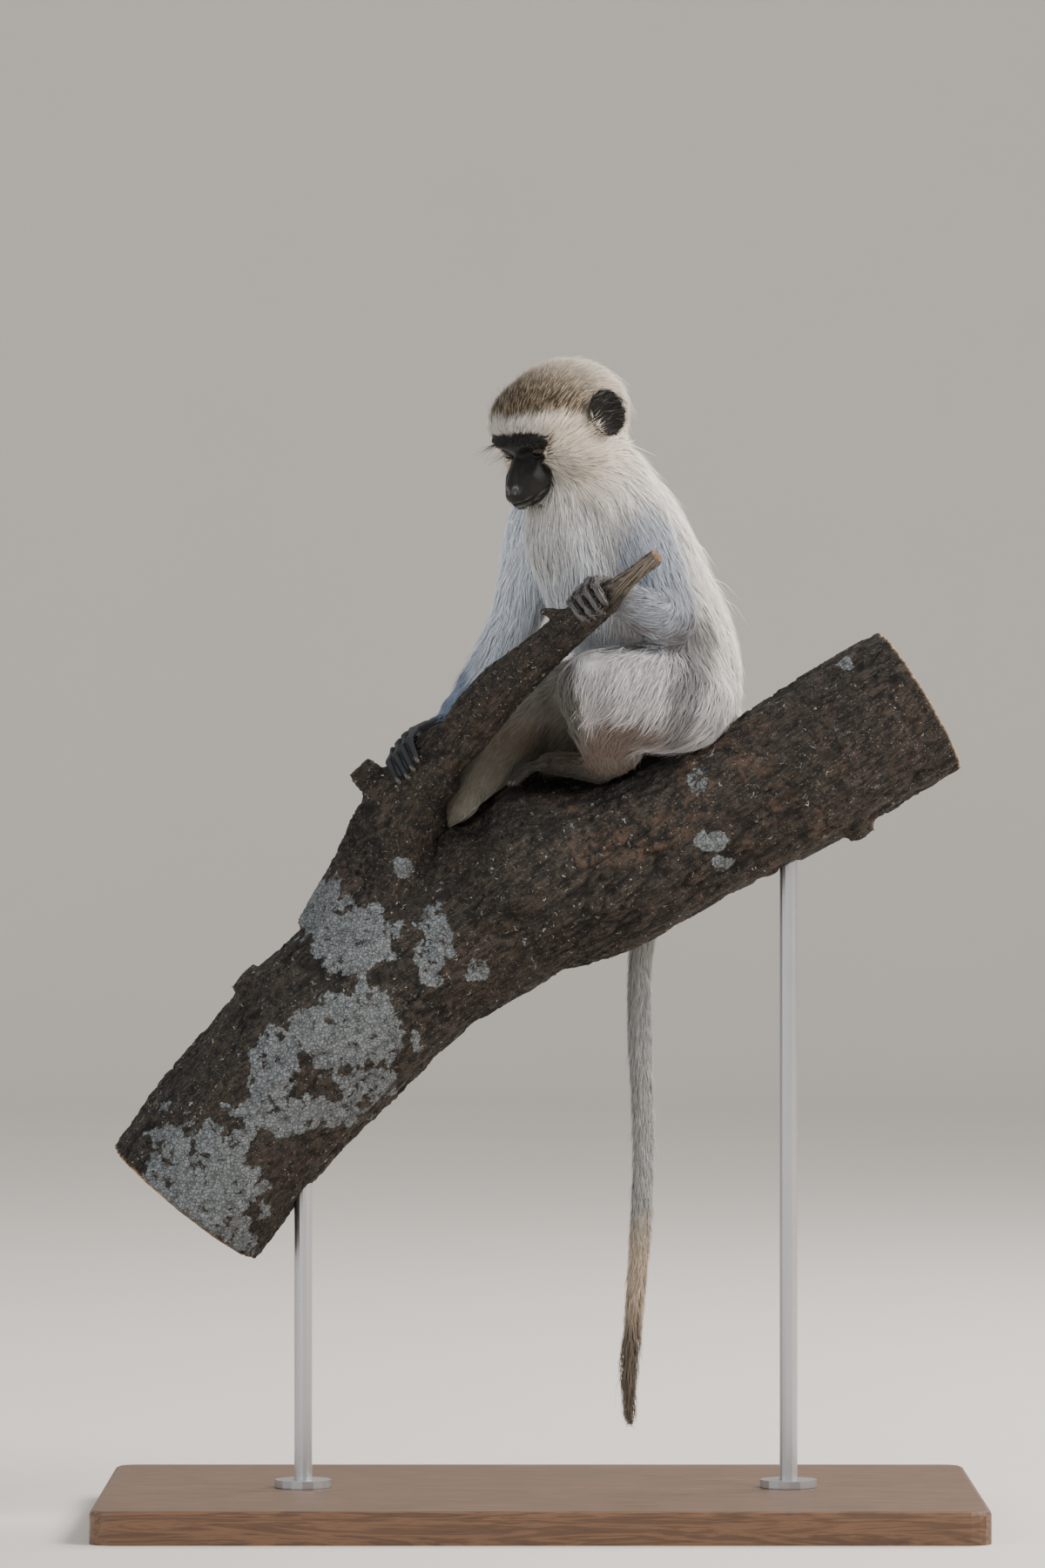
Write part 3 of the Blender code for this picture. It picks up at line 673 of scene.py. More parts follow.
def apply_modifier(obj: Object, kind: str, **settings: object) -> None:
    """Adds a modifier and applies it.

    Args:
        obj: the piece.
        kind: the modifier's type.
        settings: its properties.
    """
    select_only(obj)
    modifier = obj.modifiers.new(kind.lower(), kind)
    for key, value in settings.items():
        setattr(modifier, key, value)
    bpy.ops.object.modifier_apply(modifier=modifier.name)


def read_rows(items: bpy.types.bpy_prop_collection, key: str) -> Rows:
    """Reads one vector from each item.

    Args:
        items: the mesh's points or their normals.
        key: the property that is read.

    Returns:
        One row an item.
    """
    rows = np.empty(len(items) * 3, np.float32)
    items.foreach_get(key, rows)
    return rows.reshape(-1, 3).astype(float)


def points_of(mesh: Mesh) -> Rows:
    """The mesh's points as rows."""
    return read_rows(mesh.vertices, "co")


def normals_of(mesh: Mesh) -> Rows:
    """The mesh's normals at its points as rows."""
    return read_rows(mesh.vertex_normals, "vector")


def move_points(mesh: Mesh, rows: Rows) -> None:
    """Puts the mesh's points at these rows."""
    mesh.vertices.foreach_set("co", rows.astype(np.float32).ravel())
    mesh.update()


def write_number(mesh: Mesh, name: str, values: Rows) -> None:
    """Writes one number a point as an attribute."""
    made = mesh.attributes.new(name, "FLOAT", "POINT")
    made.data.foreach_set("value", values.astype(np.float32))


def write_vector(mesh: Mesh, name: str, rows: Rows) -> None:
    """Writes one vector a point as an attribute."""
    made = mesh.attributes.new(name, "FLOAT_VECTOR", "POINT")
    made.data.foreach_set("vector", rows.astype(np.float32).ravel())


def write_colour(mesh: Mesh, name: str, rows: Rows) -> None:
    """Writes one colour a point as an attribute.

    Args:
        mesh: the piece's mesh.
        name: the attribute's name.
        rows: linear colours, one a point.
    """
    made = mesh.attributes.new(name, "FLOAT_COLOR", "POINT")
    full = np.hstack([np.clip(rows, 0, 1), np.ones((len(rows), 1))])
    made.data.foreach_set("color", full.astype(np.float32).ravel())


def copy_of_node(name: str) -> Object:
    """A loose copy of a solid, with its doubled points merged.

    Args:
        name: the node's name.

    Returns:
        The copy.
    """
    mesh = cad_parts[name].data.copy()
    mesh.materials.clear()
    work = bmesh.new()
    work.from_mesh(mesh)
    bmesh.ops.remove_doubles(work, verts=work.verts, dist=0.002 * MM)
    work.to_mesh(mesh)
    work.free()
    return placed("copy_" + name, mesh)


def tree_of(obj: Object) -> BVHTree:
    """A search tree over the piece's faces."""
    faces = [tuple(p.vertices) for p in obj.data.polygons]
    return BVHTree.FromPolygons([v.co for v in obj.data.vertices], faces)


def keep_largest_island(mesh: Mesh) -> None:
    """Deletes all but the largest connected part.

    Args:
        mesh: what is searched, and changed.
    """
    edges = np.empty(len(mesh.edges) * 2, np.int32)
    mesh.edges.foreach_get("vertices", edges)
    first, second = edges.reshape(-1, 2).T
    label = np.arange(len(mesh.vertices))
    while True:
        lowest = np.minimum(label[first], label[second])
        fresh = label.copy()
        np.minimum.at(fresh, first, lowest)
        np.minimum.at(fresh, second, lowest)
        fresh = fresh[fresh]
        if np.array_equal(fresh, label):
            break
        label = fresh
    names, counts = np.unique(label, return_counts=True)
    if len(names) == 1:
        return
    work = bmesh.new()
    work.from_mesh(mesh)
    work.verts.ensure_lookup_table()
    lost = np.flatnonzero(label != names[np.argmax(counts)])
    bmesh.ops.delete(work, geom=[work.verts[int(i)] for i in lost], context="VERTS")
    work.to_mesh(mesh)
    work.free()


def joined_as(name: str, parts: list[Object], voxel: float = 0.0) -> Object:
    """Joins parts into one piece.

    Args:
        name: its name.
        parts: what it is made of, which is used up.
        voxel: how fine the one closed mesh is that is wrapped round them, or 0 for none.

    Returns:
        The piece.
    """
    select_only(*parts)
    bpy.ops.object.join()
    piece = bpy.context.view_layer.objects.active
    piece.name = piece.data.name = name
    if voxel:
        apply_modifier(piece, "REMESH", mode="VOXEL", voxel_size=voxel, adaptivity=0.0)
        keep_largest_island(piece.data)
    return piece


def dress(obj: Object, finish: Material) -> None:
    """Shades a piece smooth and gives it its material.

    Args:
        obj: the piece.
        finish: the material.
    """
    select_only(obj)
    bpy.ops.object.shade_smooth()
    obj.data.materials.append(finish)


def finished(obj: Object, slot: str, *nodes: str) -> Object:
    """Hands a piece to the frame.

    Args:
        obj: the piece.
        slot: the name of a material slot; not used.
        nodes: the solids that it stands for.

    Returns:
        The piece.
    """
    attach(obj, BODY)
    if nodes:
        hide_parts(*nodes)
    obj.data.calc_loop_triangles()
    LOG.info("%s: %d triangles", obj.name, len(obj.data.loop_triangles))
    return obj


# ---------------- the animal's layout


@dataclass(frozen=True)
class HeadAxes:
    """The head's own axes: forward out of the face, to its left and up, from the middle of the skull."""

    centre: Place = (10.0, -20.0, 730.0)
    yaw: float = 45.0
    pitch: float = 35.0

    def rows(self) -> Rows:
        """The axes.

        Returns:
            Forward, left and up as rows.
        """
        yaw, pitch = math.radians(self.yaw), math.radians(self.pitch)
        level = math.cos(pitch)
        forward = np.array([-math.cos(yaw) * level, -math.sin(yaw) * level, -math.sin(pitch)])
        left = np.array([math.sin(yaw), -math.cos(yaw), 0.0])
        return np.array([forward, left, np.cross(forward, left)])

    def inside(self, points: Rows) -> Rows:
        """Points in the frame, in metres, as forward, left and up in millimetres."""
        return (np.asarray(points) / MM - np.array(self.centre)) @ self.rows().T

    def folded(self, points: Rows) -> Rows:
        """As inside, with the right side laid over the left one."""
        return self.inside(points) * np.array([1, 0, 1]) + np.abs(self.inside(points)) * np.array([0, 1, 0])

    def outside(self, local: Rows) -> Rows:
        """Forward, left and up in millimetres as points in the frame, in metres."""
        return (np.asarray(local, float) @ self.rows() + np.array(self.centre)) * MM


HEAD = HeadAxes()
EYE_PLACE = (30.6, 12.4, 2.5)
EYE_RADIUS = 7.4


@dataclass(frozen=True)
class Hair:
    """How hair grows in one place: lengths in millimetres, lift in degrees."""

    length: float
    lift: float
    width: float
    density: float = 1.0

    def depth(self) -> float:
        """How far its tips stand off the skin."""
        return 0.55 * self.length * math.sin(math.radians(self.lift)) + 0.35 * self.width + 0.15


@dataclass(frozen=True)
class Tract:
    """A stretch of the body round one bone, with its hair, tint and the way the hair lies.

    The points are on the head's own axes where on_head is set. With no lie the hair runs from start to end,
    and on the head it runs away from the face.
    """

    start: Place
    end: Place
    radius: float
    hair: Hair
    tint: Colour
    lie: Place | None = None
    on_head: bool = False
    soften: float = 1.0


CROWN = Hair(8.0, 30, 0.38, 1.0)
BROW = Hair(8.0, 27, 0.34, 1.2)
CHEEK = Hair(13.0, 23, 0.40, 1.0)
THROAT = Hair(13.0, 17, 0.44, 0.9)
NAPE = Hair(15.0, 24, 0.46, 0.9)
CHEST = Hair(20.0, 13, 0.48, 1.0)
BACK = Hair(22.0, 15, 0.52, 1.0)
RUMP = Hair(26.0, 24, 0.52, 1.1)
UPPER_ARM = Hair(17.0, 14, 0.48, 1.0)
FOREARM = Hair(13.0, 14, 0.44, 1.1)
HAND_LONG = Hair(11.0, 13, 0.40, 1.8)
HAND_SHORT = Hair(5.0, 12, 0.34, 0.8)
THIGH = Hair(19.0, 15, 0.50, 1.05)
THIGH_SHORT = Hair(12.0, 14, 0.46, 1.0)
SHIN = Hair(8.0, 13, 0.42, 1.0)
FOOT = Hair(4.0, 12, 0.32, 0.7)
TAIL = Hair(12.0, 13, 0.44, 1.0)
TAIL_TIP = Hair(17.0, 16, 0.48, 1.2)

# The cream of the back and the near-white rump are partly the fur's own pale colour and partly painted light
# from the right; the bluish grey of the chest and arms is partly grey fur and partly painted cool shade.
CREAM = (0.90, 0.83, 0.75)
GREY_IN_COOL_SHADE = (0.66, 0.71, 0.79)
WARM = (0.78, 0.66, 0.54)
BUFF = (0.66, 0.58, 0.48)
TRACTS = {
    "crown": Tract((4, 0, 26), (-20, 0, 24), 22, CROWN, (0.62, 0.53, 0.43), on_head=True, soften=0.4),
    "brow": Tract((37, 13, 22), (37, -13, 22), 6, BROW, (0.57, 0.525, 0.475), on_head=True, soften=0.15),
    "temple_left": Tract((22, 26, 2), (0, 36, 4), 10, CHEEK, WARM, on_head=True, soften=0.3),
    "temple_right": Tract((22, -26, 2), (0, -36, 4), 10, CHEEK, WARM, on_head=True, soften=0.3),
    "cheek_left": Tract((20, 20, -16), (-8, 26, -20), 13, CHEEK, BUFF, on_head=True, soften=0.3),
    "cheek_right": Tract((20, -20, -16), (-8, -26, -20), 13, CHEEK, BUFF, on_head=True, soften=0.3),
    "throat": Tract((28, 0, -33), (0, 0, -38), 10, THROAT, (0.43, 0.40, 0.34), on_head=True, soften=0.4),
    "nape": Tract((-36, 0, 6), (-38, 0, -20), 16, NAPE, (0.74, 0.68, 0.60), on_head=True, soften=0.6),
    "neck_back": Tract((42, -2, 706), (53, 0, 672), 22, BACK, CREAM, (0.45, 0, -1.0)),
    "neck_front": Tract((6, -26, 690), (10, -26, 660), 20, CHEST, (0.53, 0.515, 0.48), (0.05, -0.1, -1.0)),
    "back_upper": Tract((56, 2, 668), (77, 4, 606), 40, BACK, CREAM, (0.42, 0.0, -1.0)),
    "back_lower": Tract((83, 4, 600), (92, 6, 560), 44, BACK, CREAM, (0.35, 0.0, -1.0)),
    "chest": Tract((18, -20, 660), (40, -16, 590), 24, CHEST, (0.58, 0.61, 0.65), (0.12, 0.0, -1.0)),
    # near white: partly the rump's own pale fur, partly painted light from the right
    "rump": Tract((104, 4, 566), (112, 6, 556), 26, RUMP, (1.0, 0.97, 0.91), (1.0, 0.0, -0.35)),
    # the arms' bluish greys: partly grey fur, partly painted cool shade
    "upper_arm_left": Tract((62, -24, 666), (86, -44, 604), 20, UPPER_ARM, (0.32, 0.345, 0.40), soften=0.6),
    "forearm_left": Tract((88, -47, 598), (62, -68, 609), 14, FOREARM, (0.27, 0.29, 0.325), soften=0.4),
    "upper_arm_right": Tract((3, 15, 674), (-19, 18, 594), 21, UPPER_ARM, GREY_IN_COOL_SHADE, soften=0.6),
    "forearm_right": Tract((-22, 17, 591), (-54, 17, 546), 12, FOREARM, (0.46, 0.50, 0.58), soften=0.4),
    "hand_left": Tract(
        (56, -76, 619), (36, -90, 606), 11, HAND_LONG, (0.168, 0.153, 0.149), (0.05, -0.5, -1), soften=0.05
    ),
    "hand_right": Tract((-61, 16, 535), (-88, -14, 513), 12, HAND_SHORT, (0.095, 0.098, 0.105), soften=0.0),
    "thigh_left": Tract((99, -22, 543), (36, -66, 557), 30, THIGH, (0.52, 0.50, 0.51), (-0.42, -0.35, -1.0)),
    # the left shin's dark brown is partly its own hair and partly painted shade under the left thigh
    "shin_left": Tract((32, -64, 552), (49, -30, 510), 15, SHIN, (0.15, 0.12, 0.095), soften=0.5),
    # kept dark: partly the hidden thigh's own hair, partly painted shade under the body
    "thigh_right": Tract(
        (84, 34, 546), (2, 20, 545), 28, THIGH_SHORT, (0.22, 0.205, 0.175), (-0.8, 0.3, -0.8)
    ),
    "shin_right": Tract((-4, 16, 544), (-50, 3, 474), 17, SHIN, (0.22, 0.20, 0.16), soften=0.5),
    # near black: partly the foot's own dark hair, partly painted shade under the left thigh
    "foot_left": Tract((42, -20, 499), (-18, -23, 503), 10, FOOT, (0.036, 0.033, 0.025), soften=0.03),
    "foot_right": Tract((-46, -6, 463), (-80, 48, 438), 10, FOOT, (0.17, 0.15, 0.125), soften=0.03),
    "tail_root": Tract((112, 22, 547), (122, 66, 510), 13, TAIL, (0.42, 0.41, 0.385), soften=0.25),
    "tail_bend": Tract((116, 69, 502), (76, 70, 412), 10, TAIL, (0.38, 0.38, 0.365), soften=0.15),
    "tail_upper": Tract((76, 70, 412), (68, 62, 317), 9, TAIL, (0.36, 0.37, 0.36), soften=0.12),
    "tail_lower": Tract((68, 62, 317), (69, 58, 200), 8, TAIL, (0.38, 0.38, 0.365), soften=0.12),
    "tail_tan": Tract((69, 58, 195), (64.5, 57, 142), 8, TAIL, (0.54, 0.43, 0.32), soften=0.12),
    "tail_tip": Tract((64.5, 57, 132), (61, 56, 66), 7, TAIL_TIP, (0.17, 0.135, 0.10), soften=0.12),
}


class Layout:
    """Reads the tracts at any points: how much each counts, and what they say together."""

    reach = 5.0 * MM

    def __init__(self) -> None:
        """Puts every tract in the frame."""
        self.rows = list(TRACTS.values())
        ends = []
        for row in self.rows:
            pair = np.array([row.start, row.end], float)
            ends.append(HEAD.outside(pair) if row.on_head else pair * MM)
        self.ends = np.array(ends)

    def shares(self, points: Rows) -> Rows:
        """How much each tract counts at each point.

        Args:
            points: rows of x, y, z.

        Returns:
            One row a point and one column a tract, adding up to 1.
        """
        gaps = np.empty((len(points), len(self.rows)))
        for k, (row, (start, end)) in enumerate(zip(self.rows, self.ends)):
            gaps[:, k] = np.linalg.norm(beside(points, start, end)[1], axis=1) - row.radius * MM
        gaps = np.maximum(gaps, -4 * MM)
        weights = np.exp(-(gaps - gaps.min(axis=1, keepdims=True)) / self.reach)
        return weights / weights.sum(axis=1, keepdims=True)

    def number(self, shares: Rows, read: Callable[[Tract], float]) -> Rows:
        """A number of the tracts, mixed by their shares."""
        return shares @ np.array([read(row) for row in self.rows])

    def tint(self, shares: Rows) -> Rows:
        """The tracts' tints, mixed by their shares."""
        return shares @ np.array([row.tint for row in self.rows])

    def limbs(self, shares: Rows) -> Rows:
        """The share of hands and feet."""
        return self.number(shares, lambda row: 1.0 if row.hair in (HAND_SHORT, HAND_LONG, FOOT) else 0.0)

    def lie(self, points: Rows, shares: Rows) -> Rows:
        """The way the hair lies at each point, before it is laid along the skin.

        Args:
            points: rows of x, y, z.
            shares: the tracts' shares there.

        Returns:
            Rows of directions.
        """
        fixed = np.zeros((len(self.rows), 3))
        heads = np.zeros(len(self.rows))
        for k, (row, (start, end)) in enumerate(zip(self.rows, self.ends)):
            if row.on_head:
                heads[k] = 1.0
            else:
                fixed[k] = unit(np.array(row.lie, float) if row.lie else end - start)
        return shares @ fixed + (shares @ heads)[:, None] * self.away_from_face(points)

    @staticmethod
    def away_from_face(points: Rows) -> Rows:
        """The lie on the head: back over the crown and the cheeks, then down the nape.

        Args:
            points: rows of x, y, z.

        Returns:
            Rows of directions.
        """
        local = HEAD.inside(points)
        run = unit(local - np.array([48.0, 0.0, -6.0]))
        behind = smooth_step(local[:, 0], 8.0, -34.0)[:, None]
        down = np.array([-0.55, 0.0, -1.0])
        low = smooth_step(local[:, 2], -4.0, -26.0)[:, None] * (1 - behind)
        run = run * (1 - 0.8 * behind) + down * behind + low * np.array([-0.35, 0.0, -0.55])
        return unit(run) @ HEAD.rows()


LAYOUT = Layout()


class Markings:
    """The pattern of the coat and the bare skin, read alike by the skin and by every lock."""

    cap_dark = (0.036, 0.023, 0.011)
    cap_light = (0.32, 0.24, 0.148)
    face = (0.0075, 0.007, 0.0062)
    cap_level = (-0.574, 0.0, 0.819)
    # streak: painted shade for the folds between the left elbow, the rump and the thigh
    streak = (0.165, 0.16, 0.165)
    # brown: partly the hair's own rusty brown, partly painted shade under the left thigh and a painted shadow
    # line under the left forearm
    brown_and_shade = (0.13, 0.088, 0.062)
    shade = (0.085, 0.08, 0.066)
    # bluish grey: the left shoulder's grey fur with painted cool shade
    grey_in_cool_shade = (0.36, 0.40, 0.47)
    # painted blue shade on the far forearm behind the branch
    blue_shade = (0.16, 0.205, 0.29)
    brow_hair = (0.013, 0.011, 0.010)
    ear_dark = (0.012, 0.010, 0.009)
    ear_light = (0.12, 0.108, 0.095)
    sole = (0.024, 0.022, 0.019)
    # Patches over the tracts' tints: all but the sole carry painted shade, some of it over the hair's own
    # browner or greyer colour; the sole is the foot's own dark sole.
    patches = (
        ((101, -45, 588), (12, 32, 30), streak, 0.80),
        ((97, -54, 545), (11, 26, 34), streak, 0.85),
        ((46, -88, 560), (9, 14, 26), streak, 0.35),
        ((58, -70, 524), (38, 30, 14), brown_and_shade, 0.85),
        ((68, -36, 648), (18, 26, 30), grey_in_cool_shade, 0.65),
        ((-58, 17, 557), (20, 24, 28), blue_shade, 0.85),
        ((66, -72, 590), (22, 20, 3.5), brown_and_shade, 0.45),
        ((20, -20, 520), (50, 40, 14), brown_and_shade, 0.55),
        ((17, -68, 545), (11, 30, 34), shade, 0.92),
        ((-62, 0, 453), (30, 40, 9), sole, 0.9),
    )
    bare_parts = (
        ((37.0, 0.0, 8.0), (15.0, 26.0, 8.8)),
        ((45.0, 0.0, -14.0), (20.0, 16.5, 18.5)),
        ((38.0, 0.0, -1.0), (15.0, 18.5, 10.0)),
    )

    def __init__(self) -> None:
        """Seeds the ragged edges."""
        self.ragged = Waves(31, 7 * MM)
        self.broad = Waves(47, 24 * MM)

    def blob(self, points: Rows, centre: Place, axes: Place) -> Rows:
        """1 inside an egg shape with a ragged soft edge, and 0 outside it, all in millimetres."""
        gap = egg(points, centre, axes) + 0.14 * self.ragged.at(points * MM)
        return smooth_step(gap, 1.35, 0.65)

    def bare(self, points: Rows) -> Rows:
        """Where no hair grows on the head.

        Args:
            points: rows of x, y, z.

        Returns:
            From 0 in the coat to 1 on the bare face.
        """
        local = HEAD.inside(points)
        gap = np.min([egg(local, centre, axes) for centre, axes in self.bare_parts], axis=0)
        return smooth_step(gap + 0.07 * self.ragged.at(points), 1.06, 0.96)

    def brow(self, points: Rows) -> Rows:
        """Where short black hairs grow on the dark brow, from 0 to 1."""
        height = HEAD.inside(points)[:, 2] + 2.0 * self.ragged.at(points)
        return self.bare(points) * smooth_step(height, 8.0, 12.0)

    def cap(self, local: Rows, points: Rows) -> Rows:
        """The grizzled cap: strong over the forehead, fading to the back.

        Args:
            local: the points on the head's axes.
            points: the same points in the frame.

        Returns:
            From 0 to 1 at each point.
        """
        level = local @ np.array(self.cap_level) - 0.10 * np.clip(np.abs(local[:, 1]) - 16, 0, None)
        height = level + 2.5 + 2.2 * self.ragged.at(points)
        fade = smooth_step(local[:, 0] + 6 * self.broad.at(points), -34.0, 16.0)
        return smooth_step(height, -2.5, 4.5) * (0.25 + 0.75 * fade)

    def tint(self, points: Rows, shares: Rows) -> Rows:
        """The hair's colour at each root, before each lock's own change.

        Args:
            points: rows of x, y, z.
            shares: the tracts' shares there.

        Returns:
            Rows of linear colour.
        """
        tint = LAYOUT.tint(shares)
        for centre, axes, colour, strength in self.patches:
            tint = mixed(tint, colour, strength * self.blob(points / MM, centre, axes))
        return tint

    def grizzle(self, points: Rows) -> Rows:
        """How strongly locks here are banded dark and light, from 0 to 1."""
        local = HEAD.inside(points)
        return self.cap(local, points) * smooth_step(np.linalg.norm(local, axis=1), 75.0, 60.0)


MARKINGS = Markings()


# ---------------- the skin


@dataclass(frozen=True)
class Stroke:
    """A push of the skin round a place on the head, all in the head's own axes and millimetres."""

    place: Place
    spread: Place
    push: Place
    paired: bool = False


@dataclass(frozen=True)
class Grip:
    """A hand closed round the side branch, by the branch's middle, way and radius where it grips."""

    centre: Place
    along: Place
    over: Place
    radius: float
    knuckle: float
    tip: float
    lean: float
    spacing: float = 7.4
    finger: float = 3.6
    curve: float = 0.06
    crease: float = 1.15

    def axes(self) -> Rows:
        """The hand's own directions.

        Returns:
            Along the branch, over its top, and round it towards the fingertips, as rows.
        """
        along = unit(np.array(self.along))
        over = unit(np.array(self.over) - along * (np.array(self.over) @ along))
        towards = np.cross(along, over)
        return np.array([along, over, towards if towards[1] < 0 else -towards])

    def folds(self, rows: Rows) -> Rows:
        """How deep in a crease between two fingers each point is, from 0 to 1.

        Args:
            rows: points in metres.

        Returns:
            One value a point.
        """
        local = (rows / MM - np.array(self.centre)) @ self.axes().T
        angle = np.degrees(np.arctan2(local[:, 2], local[:, 1]))
        out = np.hypot(local[:, 1], local[:, 2]) - self.radius
        t = np.clip((angle - self.knuckle) / (self.tip - self.knuckle), 0, 1)
        slide = (local[:, 0] - self.lean * t) / (1 - 0.12 * t)
        gap = np.abs(np.stack([slide - k * self.spacing for k in (-1, 0, 1)])).min(axis=0)
        near = smooth_step(out, 14.0, 9.0) * smooth_step(angle, self.knuckle - 14, self.knuckle + 6)
        return np.exp(-((gap / self.crease) ** 2)) * near * (np.abs(slide) < 2.2 * self.spacing)

    def nails(self) -> list[tuple[Rows, Rows, Rows]]:
        """Places the nails.

        Returns:
            Each fingertip's middle in millimetres, the way it points, and the way it faces.
        """
        axes, found = self.axes(), []
        for number in range(4):
            reach = 1 - self.curve * abs(number - 1.4)
            angle = math.radians(self.knuckle + (self.tip - self.knuckle) * reach)
            shift = (number - 1.5) * self.spacing * 0.88 + self.lean
            outward = np.array([0, math.cos(angle), math.sin(angle)]) @ axes
            onward = np.array([0, -math.sin(angle), math.cos(angle)]) @ axes
            middle = np.array(self.centre) + outward * (self.radius + 1.75 * self.finger) + axes[0] * shift
            found.append((middle + onward * 1.6, onward, outward))
        return found


GRIPS = (
    Grip((36.4, -86.4, 607.5), (0.725, -0.415, 0.549), (-0.25, 0.4, 1.0), 12.2, 0.0, 138.0, 4.0),
    Grip((-74.2, -18.4, 502.6), (0.654, -0.257, 0.711), (-1.0, 0.25, 0.3), 21.0, -8.0, 84.0, -5.0),
)


@dataclass(frozen=True)
class Stance:
    """A foot on the limb: heel, ball, middle toe's tip, the way to its outer side, and how its toes droop."""

    heel: Place
    ball: Place
    toe: Place
    outer: Place
    droop: float
    spacing: float = 7.0

    def toes(self) -> list[tuple[Rows, Rows]]:
        """Places the toes.

        Returns:
            Each toe's start and tip in millimetres.
        """
        heel, ball, toe = (np.array(p, float) for p in (self.heel, self.ball, self.toe))
        forward = unit(toe - heel)
        outer = unit(np.array(self.outer) - forward * (np.array(self.outer) @ forward))
        found = []
        for number in range(4):
            start = ball + outer * (number - 1.4) * self.spacing
            reach = np.linalg.norm(toe - ball) * (1 - 0.07 * abs(number - 1.2))
            tip = start + forward * reach + outer * (number - 1.5) * 1.2 - np.array([0, 0, self.droop])
            found.append((start, tip))
        return found

    def nails(self) -> list[tuple[Rows, Rows, Rows]]:
        """Places the nails.

        Returns:
            Each toe's nail: its middle in millimetres, the way it points, and the way it faces.
        """
        found = []
        for start, tip in self.toes():
            onward = unit(tip - start)
            up = unit(np.array([0, 0, 1.0]) - onward * onward[2])
            found.append((tip + up * 2.6 + onward * 2.4, unit(onward - up * 0.5), up))
        return found


STANCES = (
    Stance((42, -20, 499), (4, -22, 505), (-20, -23, 507), (0, -1, 0), 16.0),
    Stance((-44, -8, 464), (-64, 28, 454), (-84, 54, 434), (0.6, 0.6, 0.3), 14.0),
)


